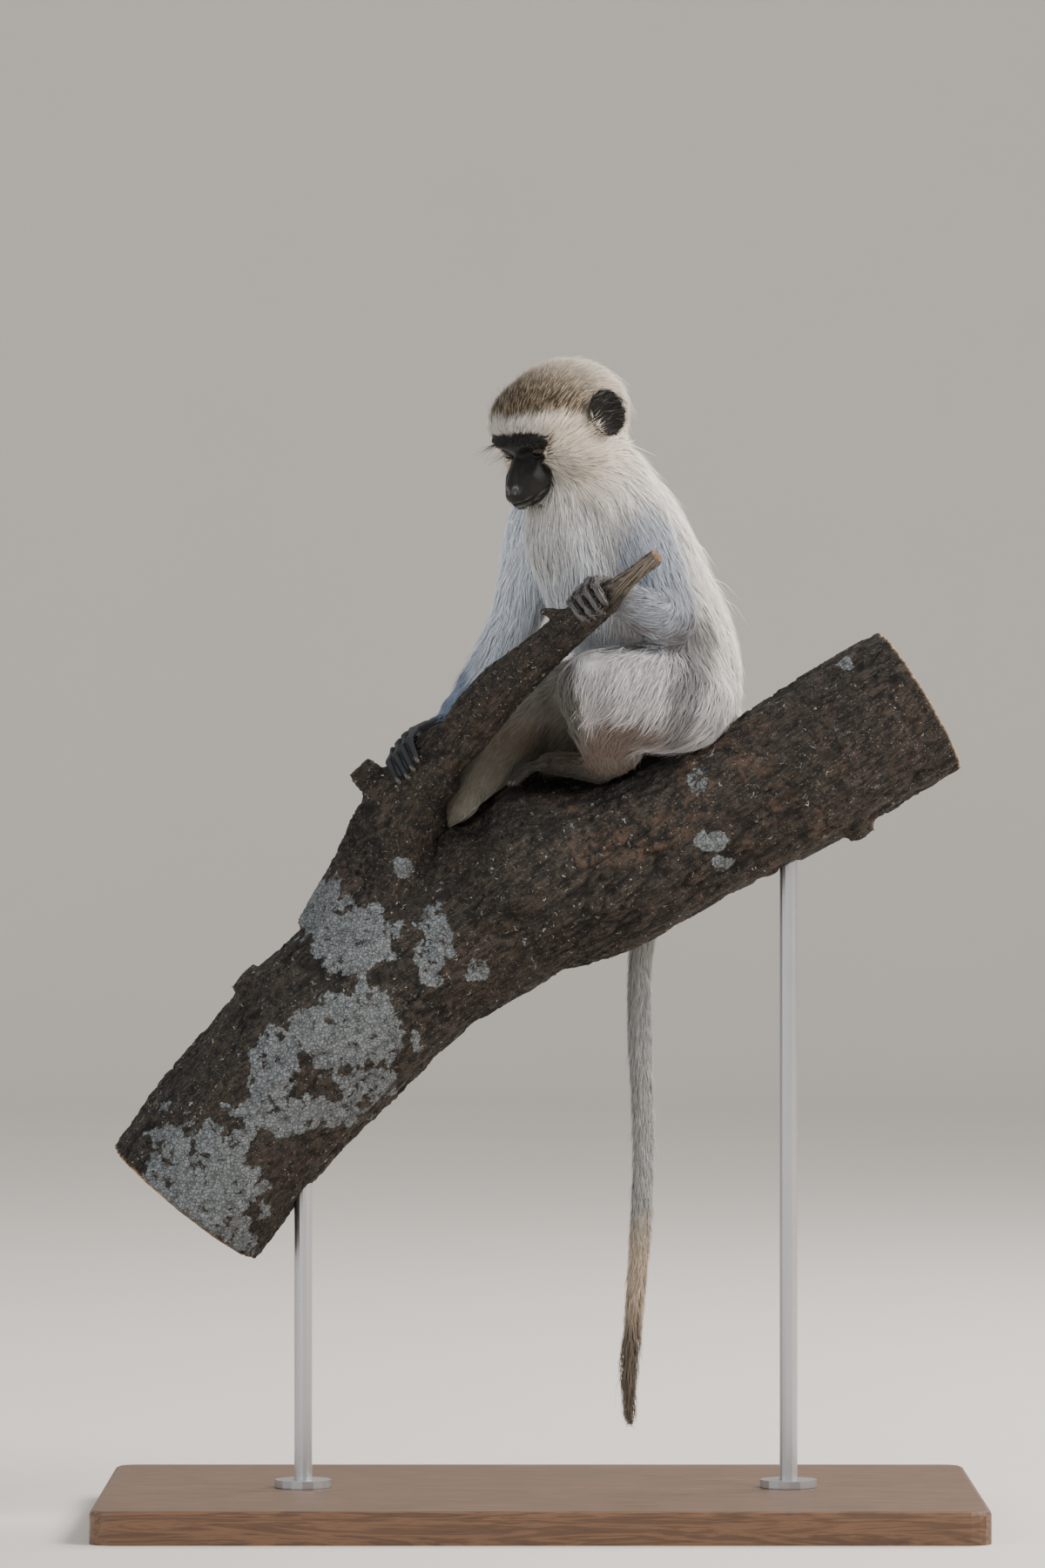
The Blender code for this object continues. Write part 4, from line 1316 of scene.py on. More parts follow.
@dataclass
class Skin:
    """One closed skin for all the flesh: the solids joined, sunk by the depth of the coat, and sculpted."""

    both_sides: ClassVar[str] = "ear upper_arm forearm hand thigh shin foot"
    ear: ClassVar[tuple[Place, Place]] = ((-2.0, 50.0, 8.0), (17.0, 9.0, 20.0))
    nostril: ClassVar[tuple[Place, Place]] = ((58.5, 3.5, -13.5), (4.0, 5.5, 3.2))
    flesh: tuple[str, ...] = (
        *("head", "neck", "trunk"),
        *(f"{part}_{side}" for part in both_sides.split() for side in ("left", "right")),
        *(f"tail_{number}" for number in (1, 2, 3, 4)),
    )
    voxel: float = 1.2 * MM
    joint_gap: float = 0.7 * MM
    soft_rounds: int = 50
    keep: float = 0.38
    strokes: tuple[Stroke, ...] = (
        Stroke((37, 9, 10.5), (7, 8, 2.6), (2.0, 0, 0.6), True),
        Stroke((38, 0, 8), (6, 4, 3.0), (-0.6, 0, 0)),
        Stroke((42, 11.5, 1.5), (7, 6, 4.5), (-1.6, 0, 0), True),
        Stroke((44, 0, -2), (7, 3.6, 6.0), (0.7, 0, 1.6)),
        Stroke((52, 0, -8), (7, 4.2, 5.0), (0.6, 0, 1.3)),
        Stroke((46, 8.5, -6), (8, 3.4, 5.0), (-0.4, -1.3, -0.3), True),
        Stroke((58, 0, -12.5), (4, 4.6, 3.0), (0.9, 0, 0.4)),
        Stroke((58.5, 3.4, -14.5), (2.2, 1.7, 1.5), (-2.6, 0, 0.5), True),
        Stroke((58, 5.6, -13.5), (3, 1.8, 2.2), (0.7, 0.5, 0), True),
        Stroke((58, 0, -19), (4, 6.5, 2.6), (0.8, 0, 0)),
        Stroke((56, 0, -27), (5, 6.0, 3.4), (0.6, 0, -0.4)),
        Stroke((-2, 55, 4), (7.0, 7, 8.5), (0.5, -3.6, 0), True),
        Stroke((7, 50, -4), (4, 6, 5), (0, 1.6, 0), True),
    )
    presses: tuple[tuple[Place, Place, Place], ...] = (
        ((12, 22, 517), (24, 22, 9), (0, 0, -12.0)),
        ((12, 26, 540), (24, 16, 14), (0, 4.0, 0)),
        ((-43, 0, 468), (15, 20, 14), (9, -12, -4)),
        ((-74, 12, 530), (16, 18, 11), (3, 3, -7)),
    )
    mouth: tuple[Place, ...] = (
        *((60, 0, -23.2), (57.5, 5, -23.0), (52, 10, -22.6)),
        *((44, 13.2, -22.8), (37, 14.2, -24.2)),
    )
    mouth_depth: float = 1.5
    mouth_breadth: float = 0.85
    lip_rise: float = 0.35
    lip_gap: float = 2.2
    finger_crease: float = 2.4
    toe_crease: float = 1.8
    lid_gap: float = 0.8
    lid_rim: float = 0.35
    lid_crease: float = 0.5
    slit_reach: float = 0.86
    tuck: float = 1.2
    limb_tints: ClassVar[dict[str, Colour]] = {
        "hand_left": (0.034, 0.031, 0.030),
        "hand_right": (0.027, 0.028, 0.031),
        # the left foot's skin is darker than the right one's: partly its own dark skin, partly painted shade
        "foot_left": (0.026, 0.025, 0.020),
        "foot_right": (0.07, 0.060, 0.050),
    }
    ear_tint: Colour = (0.010, 0.009, 0.008)
    obj: Object = field(default=None, init=False)

    def build(self) -> Object:
        """Makes the skin.

        Returns:
            The finished piece.
        """
        self.obj = self.joined()
        self.soften()
        self.settle()
        self.sink()
        self.thin()
        self.part_fingers()
        self.sculpt()
        self.paint()
        self.unwrap()
        dress(self.obj, SkinFinish().material())
        return finished(self.obj, "dark_skin", *self.flesh)

    def joined(self) -> Object:
        """Joins the solids and the eyes.

        Returns:
            One closed mesh of even fineness.
        """
        names = [*self.flesh, "eye_left", "eye_right"]
        copies = {name: copy_of_node(name) for name in names}
        trees = {name: tree_of(obj) for name, obj in copies.items()}
        boxes = {name: (points_of(o.data).min(0), points_of(o.data).max(0)) for name, o in copies.items()}
        for name, obj in copies.items():
            rows, normals = points_of(obj.data), normals_of(obj.data)
            close = [
                trees[n]
                for n in names
                if n != name
                and np.all(boxes[n][0] < boxes[name][1] + MM)
                and np.all(boxes[name][0] < boxes[n][1] + MM)
            ]
            for k, row in enumerate(rows):
                if any(t.find_nearest(row, self.joint_gap)[0] is not None for t in close):
                    rows[k] = row + normals[k] * self.joint_gap
            move_points(obj.data, rows)
        return joined_as("skin", list(copies.values()), self.voxel)

    def group(self, name: str, weights: Rows) -> None:
        """Writes a vertex group, in steps of a twentieth.

        Args:
            name: its name.
            weights: from 0 to 1 at each point.
        """
        group = self.obj.vertex_groups.new(name=name)
        steps = np.round(weights * 20).astype(int)
        for step in range(1, 21):
            chosen = np.flatnonzero(steps == step)
            if len(chosen):
                group.add(chosen.tolist(), step / 20, "REPLACE")

    def soften(self) -> None:
        """Rounds off the facets of the body, and leaves hands, feet and face crisp."""
        rows = points_of(self.obj.data)
        weights = LAYOUT.number(LAYOUT.shares(rows), lambda row: row.soften)
        weights = weights * (1 - 0.85 * MARKINGS.bare(rows)) * (1 - self.near_ear(rows))
        self.group("soft", weights)
        self.smooth(self.soft_rounds, "soft")
        self.smooth(3)

    def smooth(self, rounds: int, group: str = "") -> None:
        """Smooths the skin, or only as much of it as a vertex group says."""
        apply_modifier(self.obj, "SMOOTH", factor=0.5, iterations=rounds, vertex_group=group)

    @staticmethod
    def near_ear(rows: Rows, reach: float = 1.0) -> Rows:
        """1 on the ears and 0 elsewhere, with a larger reach for what surrounds them."""
        gap = egg(HEAD.folded(rows), *Skin.ear)
        return smooth_step(gap / reach, 1.15, 0.95)

    def settle(self) -> None:
        """Sets the ears a little lower, and lets the folded right leg's calf bulge under its thigh."""
        mesh = self.obj.data
        local = HEAD.inside(points_of(mesh))
        ears = self.near_ear(points_of(mesh), 1.15)[:, None]
        tucked = np.where(local[:, 1:2] < 0, np.array([[-1.0, 2.0, -4.5]]), np.array([[0.5, 0.0, -2.5]]))
        rows = HEAD.outside(local + ears * tucked) / MM
        for place, spread, push in self.presses:
            rows = rows + bell(rows, place, spread)[:, None] * np.array(push)
        move_points(mesh, rows * MM)

    def sink(self) -> None:
        """Moves the skin in by the depth of the coat."""
        mesh = self.obj.data
        rows = points_of(mesh)
        depth = LAYOUT.number(LAYOUT.shares(rows), lambda row: row.hair.depth())
        depth = depth * (1 - MARKINGS.bare(rows)) * (1 - 0.93 * self.near_ear(rows))
        move_points(mesh, rows - normals_of(mesh) * depth[:, None] * MM)
        self.smooth(4)

    def thin(self) -> None:
        """Takes triangles away where the coat hides the skin, and keeps them on bare parts."""
        rows = points_of(self.obj.data)
        fine = np.maximum(MARKINGS.bare(rows), self.near_ear(rows))
        self.group("loose", 1 - np.maximum(fine, LAYOUT.limbs(LAYOUT.shares(rows))))
        apply_modifier(self.obj, "DECIMATE", ratio=self.keep, vertex_group="loose", vertex_group_factor=2.0)

    def part_fingers(self) -> None:
        """Presses the creases between fingers and between toes."""
        mesh = self.obj.data
        for grip in GRIPS:
            self.subdivide(grip.folds(points_of(mesh)) > 0.08)
        rows = points_of(mesh)
        depth = sum(grip.folds(rows) for grip in GRIPS) * self.finger_crease
        for stance in STANCES:
            tips = stance.toes()
            for (start, tip), (other, end) in zip(tips, tips[1:]):
                away = beside(rows / MM, (start + other) / 2, (tip + end) / 2, 0.1, 1.1)[1]
                across = away @ unit(other - start)
                near = smooth_step(np.linalg.norm(away, axis=1), 9.0, 6.0)
                depth = depth + np.exp(-((across / 1.2) ** 2)) * near * self.toe_crease
        move_points(mesh, rows - normals_of(mesh) * depth[:, None] * MM)

    def subdivide(self, chosen: Rows) -> None:
        """Divides the faces that touch the chosen points.

        Args:
            chosen: which points, as one mark each.
        """
        mesh = self.obj.data
        for vert, mark in zip(mesh.vertices, chosen):
            vert.select = bool(mark)
        picks = [any(chosen[i] for i in p.vertices) for p in mesh.polygons]
        select_only(self.obj)
        bpy.ops.object.mode_set(mode="EDIT")
        bpy.ops.mesh.select_mode(type="FACE")
        bpy.ops.mesh.select_all(action="DESELECT")
        bpy.ops.object.mode_set(mode="OBJECT")
        mesh.polygons.foreach_set("select", picks)
        bpy.ops.object.mode_set(mode="EDIT")
        bpy.ops.mesh.subdivide(number_cuts=1)
        bpy.ops.mesh.select_all(action="SELECT")
        bpy.ops.mesh.quads_convert_to_tris(quad_method="BEAUTY", ngon_method="BEAUTY")
        bpy.ops.object.mode_set(mode="OBJECT")

    def sculpt(self) -> None:
        """Shapes brow, sockets, nose, lips and lids."""
        mesh = self.obj.data
        self.subdivide(MARKINGS.bare(points_of(mesh)) * (HEAD.inside(points_of(mesh))[:, 0] > 20) > 0.3)
        local = HEAD.inside(points_of(mesh))
        for stroke in self.strokes:
            for sign in (1, -1) if stroke.paired else (1,):
                turn = np.array([1, sign, 1])
                share = bell(local, np.array(stroke.place) * turn, stroke.spread)
                local = local + share[:, None] * np.array(stroke.push) * turn
        move_points(mesh, HEAD.outside(local))
        self.cut_mouth()
        for sign in (1, -1):
            local = HEAD.inside(points_of(mesh))
            gap = np.linalg.norm(local - np.array(EYE_PLACE) * np.array([1, sign, 1]), axis=1)
            self.subdivide((gap < 11.0) & (local[:, 0] > EYE_PLACE[0] - 1.0))
            self.shape_lids(sign)

    def cut_mouth(self) -> None:
        """Presses the line of the mouth in, between the lips."""
        mesh = self.obj.data
        local, normals = HEAD.inside(points_of(mesh)), normals_of(mesh) @ HEAD.rows().T
        line, folded = np.array(self.mouth, float), HEAD.folded(points_of(mesh))
        gap = np.full(len(local), 1e3)
        for start, end in zip(line, line[1:]):
            away = beside(folded, start, end)[1]
            gap = np.minimum(gap, np.hypot(away[:, 2], 0.35 * np.hypot(away[:, 0], away[:, 1])))
        groove = np.exp(-((gap / self.mouth_breadth) ** 2)) * self.mouth_depth
        lips = np.exp(-(((gap - self.lip_gap) / 1.3) ** 2)) * self.lip_rise
        move_points(mesh, HEAD.outside(local + normals * (lips - groove)[:, None]))

    def shape_lids(self, sign: int) -> None:
        """Lays the skin over the eye as two lids, and tucks it behind the eye between them.

        Args:
            sign: 1 for the left eye and -1 for the right one.
        """
        mesh = self.obj.data
        local = HEAD.inside(points_of(mesh))
        arm = local - np.array(EYE_PLACE) * np.array([1, sign, 1])
        far = np.linalg.norm(arm, axis=1)
        axis, side, up = eye_axes(sign)
        x, y, z = arm @ side / EYE_RADIUS, arm @ up / EYE_RADIUS, arm @ axis / EYE_RADIUS
        bow = np.clip(1 - (x / self.slit_reach) ** 2, -0.6, 1)
        upper, lower = 0.30 * bow + 0.02, -0.40 * bow - 0.04
        slit = np.minimum(upper - y, y - lower)
        slit = np.where(np.abs(x) > self.slit_reach, -0.2, slit)
        open_share = smooth_step(slit, -0.03, 0.06)
        lid = EYE_RADIUS + self.lid_gap + self.lid_rim * np.exp(-((slit + 0.06) ** 2) / 0.004)
        target = lid * (1 - open_share) + (EYE_RADIUS - self.tuck) * open_share
        near = smooth_step(np.hypot(x, y), 1.30, 0.92) * smooth_step(z, 0.0, 0.3)
        crease = np.exp(-((y - upper - 0.30) ** 2) / 0.006) * near * self.lid_crease
        blend = near[:, None]
        shaped = np.array(EYE_PLACE) * np.array([1, sign, 1]) + unit(arm) * (target - crease)[:, None]
        chosen = (far < EYE_RADIUS + 5.0)[:, None]
        local = np.where(chosen, local * (1 - blend) + shaped * blend, local)
        move_points(mesh, HEAD.outside(local))

    def paint(self) -> None:
        """Writes the markings on the skin: the coat's tint where hair grows, and its own where it is bare."""
        mesh = self.obj.data
        rows = points_of(mesh)
        shares = LAYOUT.shares(rows)
        bare = MARKINGS.bare(rows)
        # under the hair the skin takes the coat's tint at 85%: partly the undercoat's own grey, partly
        # painted shade deep in the coat
        hair = mixed(MARKINGS.tint(rows, shares) * 0.85, MARKINGS.cap_dark, MARKINGS.grizzle(rows))
        own = np.full((len(rows), 3), MARKINGS.face)
        own *= 1 + 0.7 * smooth_step(HEAD.inside(rows)[:, 2:3], -4.0, -16.0)
        for name, colour in self.limb_tints.items():
            own = mixed(own, colour, shares[:, list(TRACTS).index(name)])
        ears = self.near_ear(rows)
        own = mixed(own, self.ear_tint, ears)
        bare = np.maximum(np.maximum(bare, smooth_step(LAYOUT.limbs(shares), 0.3, 0.7)), ears)
        write_colour(mesh, "tint", mixed(hair, own, bare))
        write_number(mesh, "bare", bare)
        nose = egg(HEAD.folded(rows), *self.nostril)
        write_number(mesh, "wet", smooth_step(nose, 1.2, 0.5))

    def unwrap(self) -> None:
        """Unfolds the skin, as the place of every lock's patch and of the skin's own colours."""
        select_only(self.obj)
        self.obj.data.uv_layers.new(name="OFBake")
        bpy.ops.object.mode_set(mode="EDIT")
        bpy.ops.mesh.select_all(action="SELECT")
        bpy.ops.uv.smart_project(angle_limit=math.radians(66), island_margin=0.0005)
        bpy.ops.object.mode_set(mode="OBJECT")


def eye_axes(sign: int) -> tuple[Rows, Rows, Rows]:
    """The eye opening's own axes on the head: out of the face, towards the temple, and up.

    Args:
        sign: 1 for the left eye and -1 for the right one.

    Returns:
        Three directions in the head's axes.
    """
    axis = unit(np.array([1.0, 0.22 * sign, -0.04]))
    side = unit(np.cross(np.array([0.0, 0.0, 1.0]), axis)) * sign
    return axis, side, np.cross(axis, side) * sign


# ---------------- eyes


@dataclass
class Eyes:
    """Two wet eyes that look down, each with a slightly bulging cornea."""

    gaze_down: float = 0.28
    cornea_rise: float = 0.07

    def build(self) -> None:
        """Makes both eyes."""
        for label, sign in (("left", 1), ("right", -1)):
            self.eye(label, sign)

    def eye(self, label: str, sign: int) -> Object:
        """One eye.

        Args:
            label: its side.
            sign: 1 for the left one and -1 for the right one.

        Returns:
            The finished piece.
        """
        low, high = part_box("eye_" + label)
        centre, radius = (low + high) / 2, (high - low).x / 2
        axis, _side, up = eye_axes(sign)
        gaze = Vector(unit(axis - up * self.gaze_down) @ HEAD.rows())
        select_only(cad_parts["eye_" + label])
        bpy.ops.mesh.primitive_uv_sphere_add(segments=48, ring_count=32, radius=radius, location=centre)
        ball = bpy.context.object
        ball.name = ball.data.name = "eyeball_" + label
        ball.rotation_mode = "QUATERNION"
        ball.rotation_quaternion = gaze.to_track_quat("Z", "Y")
        bpy.ops.object.transform_apply(location=True, rotation=True, scale=True)
        rows = points_of(ball.data)
        arm = rows - np.array(centre)
        lift = smooth_step(arm @ np.array(gaze) / radius, 0.74, 0.98)
        move_points(ball.data, np.array(centre) + arm * (1 + self.cornea_rise * lift)[:, None])
        dress(ball, EyeFinish(centre, gaze, radius * (1 + self.cornea_rise * 0.5)).material())
        return finished(ball, "eye", "eye_" + label)


@dataclass
class Nails:
    """Narrow arched nails on fingertips and toes."""

    skin: Object
    half: Place = (1.5, 3.1, 0.75)

    def build(self) -> Object:
        """Makes them all as one piece.

        Returns:
            The finished piece.
        """
        tree = tree_of(self.skin)
        parts = []
        for middle, onward, facing in [nail for group in (*GRIPS, *STANCES) for nail in group.nails()]:
            spot = tree.find_nearest(Vector(middle * MM))[0]
            parts.append(self.nail(spot, onward, facing))
        piece = joined_as("nails", parts)
        dress(piece, NailFinish().material())
        return finished(piece, "dark_skin")

    def nail(self, spot: Vector, onward: Rows, facing: Rows) -> Object:
        """One nail, tapered towards its free end.

        Args:
            spot: its middle, on the skin.
            onward: the way it points.
            facing: the way it faces.

        Returns:
            The nail.
        """
        bpy.ops.mesh.primitive_uv_sphere_add(segments=14, ring_count=10, radius=1.0)
        obj = bpy.context.object
        rows = points_of(obj.data)
        rows[:, 0] *= 1 - 0.35 * np.clip(rows[:, 1], 0, 1) ** 2
        rows[:, 2] -= 0.45 * rows[:, 0] ** 2 + 0.5 * np.clip(rows[:, 1], 0, 1) ** 2
        across = unit(np.cross(onward, facing))
        axes = np.array([across, onward, np.cross(across, onward)])
        move_points(obj.data, (rows * np.array(self.half)) @ axes * MM + np.array(spot))
        return obj


# ---------------- the coat


@dataclass(frozen=True)
class CoatPiece:
    """One piece of the coat: the solids that it grows over, how many locks, and how large its clumps are.

    Where two pieces share a solid, each takes the side that faces its way.
    """

    name: str
    nodes: tuple[str, ...]
    locks: int
    clump: float
    way: Place | None = None


class CoatPieces(Enum):
    """The pieces of the coat."""

    FACE = CoatPiece("coat_head", ("head", "ear_left", "ear_right"), 19800, 2.6, (-0.58, -0.58, 0.2))
    CROWN = CoatPiece("coat_crown", ("head", "ear_left", "ear_right"), 12000, 3.0, (0.58, 0.58, -0.2))
    NECK = CoatPiece("coat_neck", ("neck",), 11000, 4.5)
    TRUNK = CoatPiece("coat_trunk", ("trunk",), 17000, 5.0, (-1.0, 0.0, 0.0))
    BACK = CoatPiece("coat_back", ("trunk",), 18000, 5.0, (1.0, 0.0, 0.0))
    ARM_LEFT = CoatPiece("coat_arm_left", ("upper_arm_left", "forearm_left", "hand_left"), 15500, 4.0)
    ARM_RIGHT = CoatPiece("coat_arm_right", ("upper_arm_right", "forearm_right", "hand_right"), 11000, 4.0)
    LEG_LEFT = CoatPiece("coat_leg_left", ("thigh_left", "shin_left", "foot_left"), 18500, 4.5)
    LEG_RIGHT = CoatPiece("coat_leg_right", ("thigh_right", "shin_right", "foot_right"), 10000, 4.5)
    TAIL = CoatPiece("coat_tail", ("tail_1", "tail_2", "tail_3", "tail_4"), 13000, 3.0)


@dataclass
class Coat:
    """Solid locks all over the skin, each tapered and bent along the lie of the coat."""

    skin: Object
    ring_places: tuple[float, ...] = (0.0, 0.48, 1.0)
    ring_widths: tuple[float, ...] = (1.0, 0.82)
    thickness: float = 0.34
    clump_pull: float = 0.32
    ground_share: float = 0.65
    rooting: float = 0.5 * MM
    patch: float = 0.003
    turn_waves: float = 0.22
    turn_chance: float = 0.09
    wood_reach: float = 14 * MM
    wood_gap: float = 0.4 * MM
    cap_dark_share: float = 0.68
    ear_black_share: float = 0.86

    def __post_init__(self) -> None:
        """Reads the skin once for all pieces."""
        mesh = self.skin.data
        mesh.calc_loop_triangles()
        count = len(mesh.loop_triangles)
        corners, loops = np.empty(count * 3, np.int32), np.empty(count * 3, np.int32)
        mesh.loop_triangles.foreach_get("vertices", corners)
        mesh.loop_triangles.foreach_get("loops", loops)
        self.corners, loops = corners.reshape(-1, 3), loops.reshape(-1, 3)
        self.rows, self.normals = points_of(mesh), normals_of(mesh)
        flat = np.empty(len(mesh.loops) * 2, np.float32)
        mesh.uv_layers["OFBake"].uv.foreach_get("vector", flat)
        self.uvs = flat.reshape(-1, 2)[loops]
        spots = self.rows[self.corners]
        across = np.cross(spots[:, 1] - spots[:, 0], spots[:, 2] - spots[:, 0])
        self.areas = np.linalg.norm(across, axis=1) / 2
        self.middles = spots.mean(axis=1)
        self.owners = self.owner_of(self.middles)
        self.tree = tree_of(self.skin)
        self.wood = [tree_of(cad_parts[name]) for name in ("perch_limb", "perch_branch")]

    def owner_of(self, points: Rows) -> Rows:
        """Finds the solid that each point belongs to.

        Args:
            points: rows of x, y, z.

        Returns:
            The solids' names.
        """
        vertices, faces, owners = [], [], []
        for name in Skin.flesh:
            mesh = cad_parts[name].data
            start = len(vertices)
            vertices.extend(v.co.copy() for v in mesh.vertices)
            faces.extend(tuple(i + start for i in p.vertices) for p in mesh.polygons)
            owners.extend([name] * len(mesh.polygons))
        tree = BVHTree.FromPolygons(vertices, faces)
        return np.array([owners[tree.find_nearest(p)[2]] for p in points])

    def build(self) -> None:
        """Grows every piece."""
        for number, piece in enumerate(CoatPieces):
            self.grow(piece.value, np.random.default_rng(100 + number))

    def grow(self, piece: CoatPiece, rng: Chance) -> Object:
        """Grows one piece.

        Args:
            piece: what it covers.
            rng: where its chances come from.

        Returns:
            The finished piece.
        """
        mine = np.isin(self.owners, piece.nodes)
        if piece.way:
            mine &= self.normals[self.corners].sum(axis=1) @ np.array(piece.way) >= 0
        chosen = np.flatnonzero(mine)
        middles = self.middles[chosen]
        shares = LAYOUT.shares(middles)
        hair = LAYOUT.number(shares, lambda row: row.hair.density / (row.hair.width * row.hair.length) * 16)
        hair = hair * (1 - MARKINGS.bare(middles) + 1.3 * MARKINGS.brow(middles)) * self.allowed(middles)
        chance = self.areas[chosen] * hair
        picks = chosen[rng.choice(len(chosen), piece.locks, p=chance / chance.sum())]
        a, b = np.sqrt(rng.random(piece.locks)), rng.random(piece.locks)
        mix = np.stack([1 - a, a * (1 - b), a * b], axis=1)[:, :, None]
        roots = (self.rows[self.corners[picks]] * mix).sum(axis=1)
        normals = unit((self.normals[self.corners[picks]] * mix).sum(axis=1))
        uvs = (self.uvs[picks] * mix).sum(axis=1)
        return self.locks(piece, roots, normals, uvs, rng)

    @staticmethod
    def allowed(points: Rows) -> Rows:
        """How freely hair grows on the hands and ears.

        Args:
            points: rows of x, y, z.

        Returns:
            From 0 on the bare fingers to 1.
        """
        east, north, height = (points / MM).T
        wrist = smooth_step(np.linalg.norm(points / MM - np.array([-60, 17, 536]), axis=1), 19.0, 9.0)
        share = np.where((east < -50) & (height > 490), wrist, 1.0)
        palm = smooth_step(np.linalg.norm(points / MM - np.array([42, -86, 613]), axis=1), 29.0, 19.0)
        share = share * np.where((north < -70) & (east < 50) & (height > 570), palm, 1.0)
        return share * (1 - 0.35 * Skin.near_ear(points))

    def locks(self, piece: CoatPiece, roots: Rows, normals: Rows, uvs: Rows, rng: Chance) -> Object:
        """Shapes, colours and joins the locks of a piece.

        Args:
            piece: what they belong to.
            roots: where they leave the skin.
            normals: the skin's normals there.
            uvs: their places on the unfolded skin.
            rng: where their chances come from.

        Returns:
            The finished piece.
        """
        count = len(roots)
        shares = LAYOUT.shares(roots)
        ears = Skin.near_ear(roots)
        length = LAYOUT.number(shares, lambda row: row.hair.length) * MM
        lift = np.radians(LAYOUT.number(shares, lambda row: row.hair.lift))
        width = LAYOUT.number(shares, lambda row: row.hair.width) * MM
        edge = smooth_step(MARKINGS.bare(roots), 0.0, 0.8)
        length = length * (1 - 0.40 * edge) * (1 - 0.45 * Skin.near_ear(roots, 1.7))
        length = length * (1 - 0.35 * MARKINGS.brow(roots))
        width = width * (1 - 0.3 * ears)
        groups, centres = self.clumps(roots, piece.clump, rng)
        luck = rng.normal(size=(len(centres), 3))[groups]
        length = length * np.exp(0.10 * luck[:, 0] + 0.14 * rng.normal(size=count))
        rise = np.sin(lift) * np.exp(0.22 * luck[:, 1] + 0.25 * rng.normal(size=count))
        width = width * np.exp(0.18 * rng.normal(size=count))
        lie = flatten(LAYOUT.lie(roots, shares), normals)
        angle = self.turn_waves * Waves(7, 16 * MM).rough(roots, 2)
        angle = angle + self.turn_chance * rng.normal(size=count) + 0.10 * luck[:, 2]
        lie = self.turned(lie, normals, angle)
        places = self.ring_places
        spine, tops = [roots - normals * self.rooting], [normals]
        here, along = roots, lie
        for before, after in zip(places, places[1:]):
            ahead = here + along * (length * (after - before))[:, None]
            height = length * rise * (after - 0.45 * after * after)
            here, top = self.held(ahead, height)
            pull = (centres[groups] - roots) * (self.clump_pull * after * after)
            here = here + flatten(pull, top) * np.linalg.norm(pull, axis=1)[:, None]
            here = self.off_the_wood(here)
            along = flatten(here - spine[-1], top)
            spine.append(here)
            tops.append(top)
        return self.mesh(piece, spine, tops, width, uvs, self.tints(roots, shares, ears, luck, rng), rng)

    @staticmethod
    def clumps(roots: Rows, size: float, rng: Chance) -> tuple[Rows, Rows]:
        """Gathers roots round chosen ones, whose tips theirs lean to.

        Args:
            roots: where the locks leave the skin.
            size: about how many locks a clump has.
            rng: where the choice comes from.

        Returns:
            Each root's clump, and the clumps' middles.
        """
        heads = rng.choice(len(roots), max(1, int(len(roots) / size)), replace=False)
        tree = KDTree(len(heads))
        for k, head in enumerate(heads):
            tree.insert(roots[head], k)
        tree.balance()
        return np.array([tree.find(root)[1] for root in roots]), roots[heads]

    @staticmethod
    def turned(lie: Rows, normals: Rows, angle: Rows) -> Rows:
        """Each direction turned about its normal by an angle."""
        return lie * np.cos(angle)[:, None] + np.cross(normals, lie) * np.sin(angle)[:, None]

    def held(self, points: Rows, height: Rows) -> tuple[Rows, Rows]:
        """Points moved to a height over the skin.

        Args:
            points: where they would go.
            height: how far off the skin they should be.

        Returns:
            Where they go, and the skin's normals there.
        """
        ground, tops = np.empty_like(points), np.empty_like(points)
        for k, point in enumerate(points):
            spot, normal, _face, _gap = self.tree.find_nearest(point)
            ground[k], tops[k] = spot, normal
        return ground + tops * height[:, None], tops

    def off_the_wood(self, points: Rows) -> Rows:
        """Moves points that would lie in the wood to just above its surface.

        Args:
            points: where they would go.

        Returns:
            Where they go.
        """
        out = points.copy()
        for tree in self.wood:
            for k, point in enumerate(out):
                spot, normal, _face, _gap = tree.find_nearest(point, self.wood_reach)
                if spot is not None and (Vector(point) - spot).dot(normal) < self.wood_gap:
                    out[k] = spot + normal * self.wood_gap
        return out

    def tints(self, roots: Rows, shares: Rows, ears: Rows, luck: Rows, rng: Chance) -> Rows:
        """Each lock's colour: the markings, banded on the cap, and lighter or darker by chance.

        Args:
            roots: where the locks leave the skin.
            shares: the tracts' shares there.
            ears: 1 on the ears.
            luck: each clump's chances.
            rng: where each lock's chance comes from.

        Returns:
            Rows of linear colour.
        """
        count = len(roots)
        dark = rng.random((count, 1)) < self.cap_dark_share
        banded = np.where(dark, np.array(MARKINGS.cap_dark), np.array(MARKINGS.cap_light))
        tint = mixed(MARKINGS.tint(roots, shares), banded, MARKINGS.grizzle(roots))
        black = rng.random((count, 1)) < self.ear_black_share
        eared = np.where(black, np.array(MARKINGS.ear_dark), np.array(MARKINGS.ear_light))
        tint = mixed(tint, eared, ears)
        tint = mixed(tint, MARKINGS.brow_hair, smooth_step(MARKINGS.bare(roots), 0.25, 0.6))
        tone = np.exp(0.07 * luck[:, 0] + 0.16 * rng.normal(size=count))
        return tint * tone[:, None]

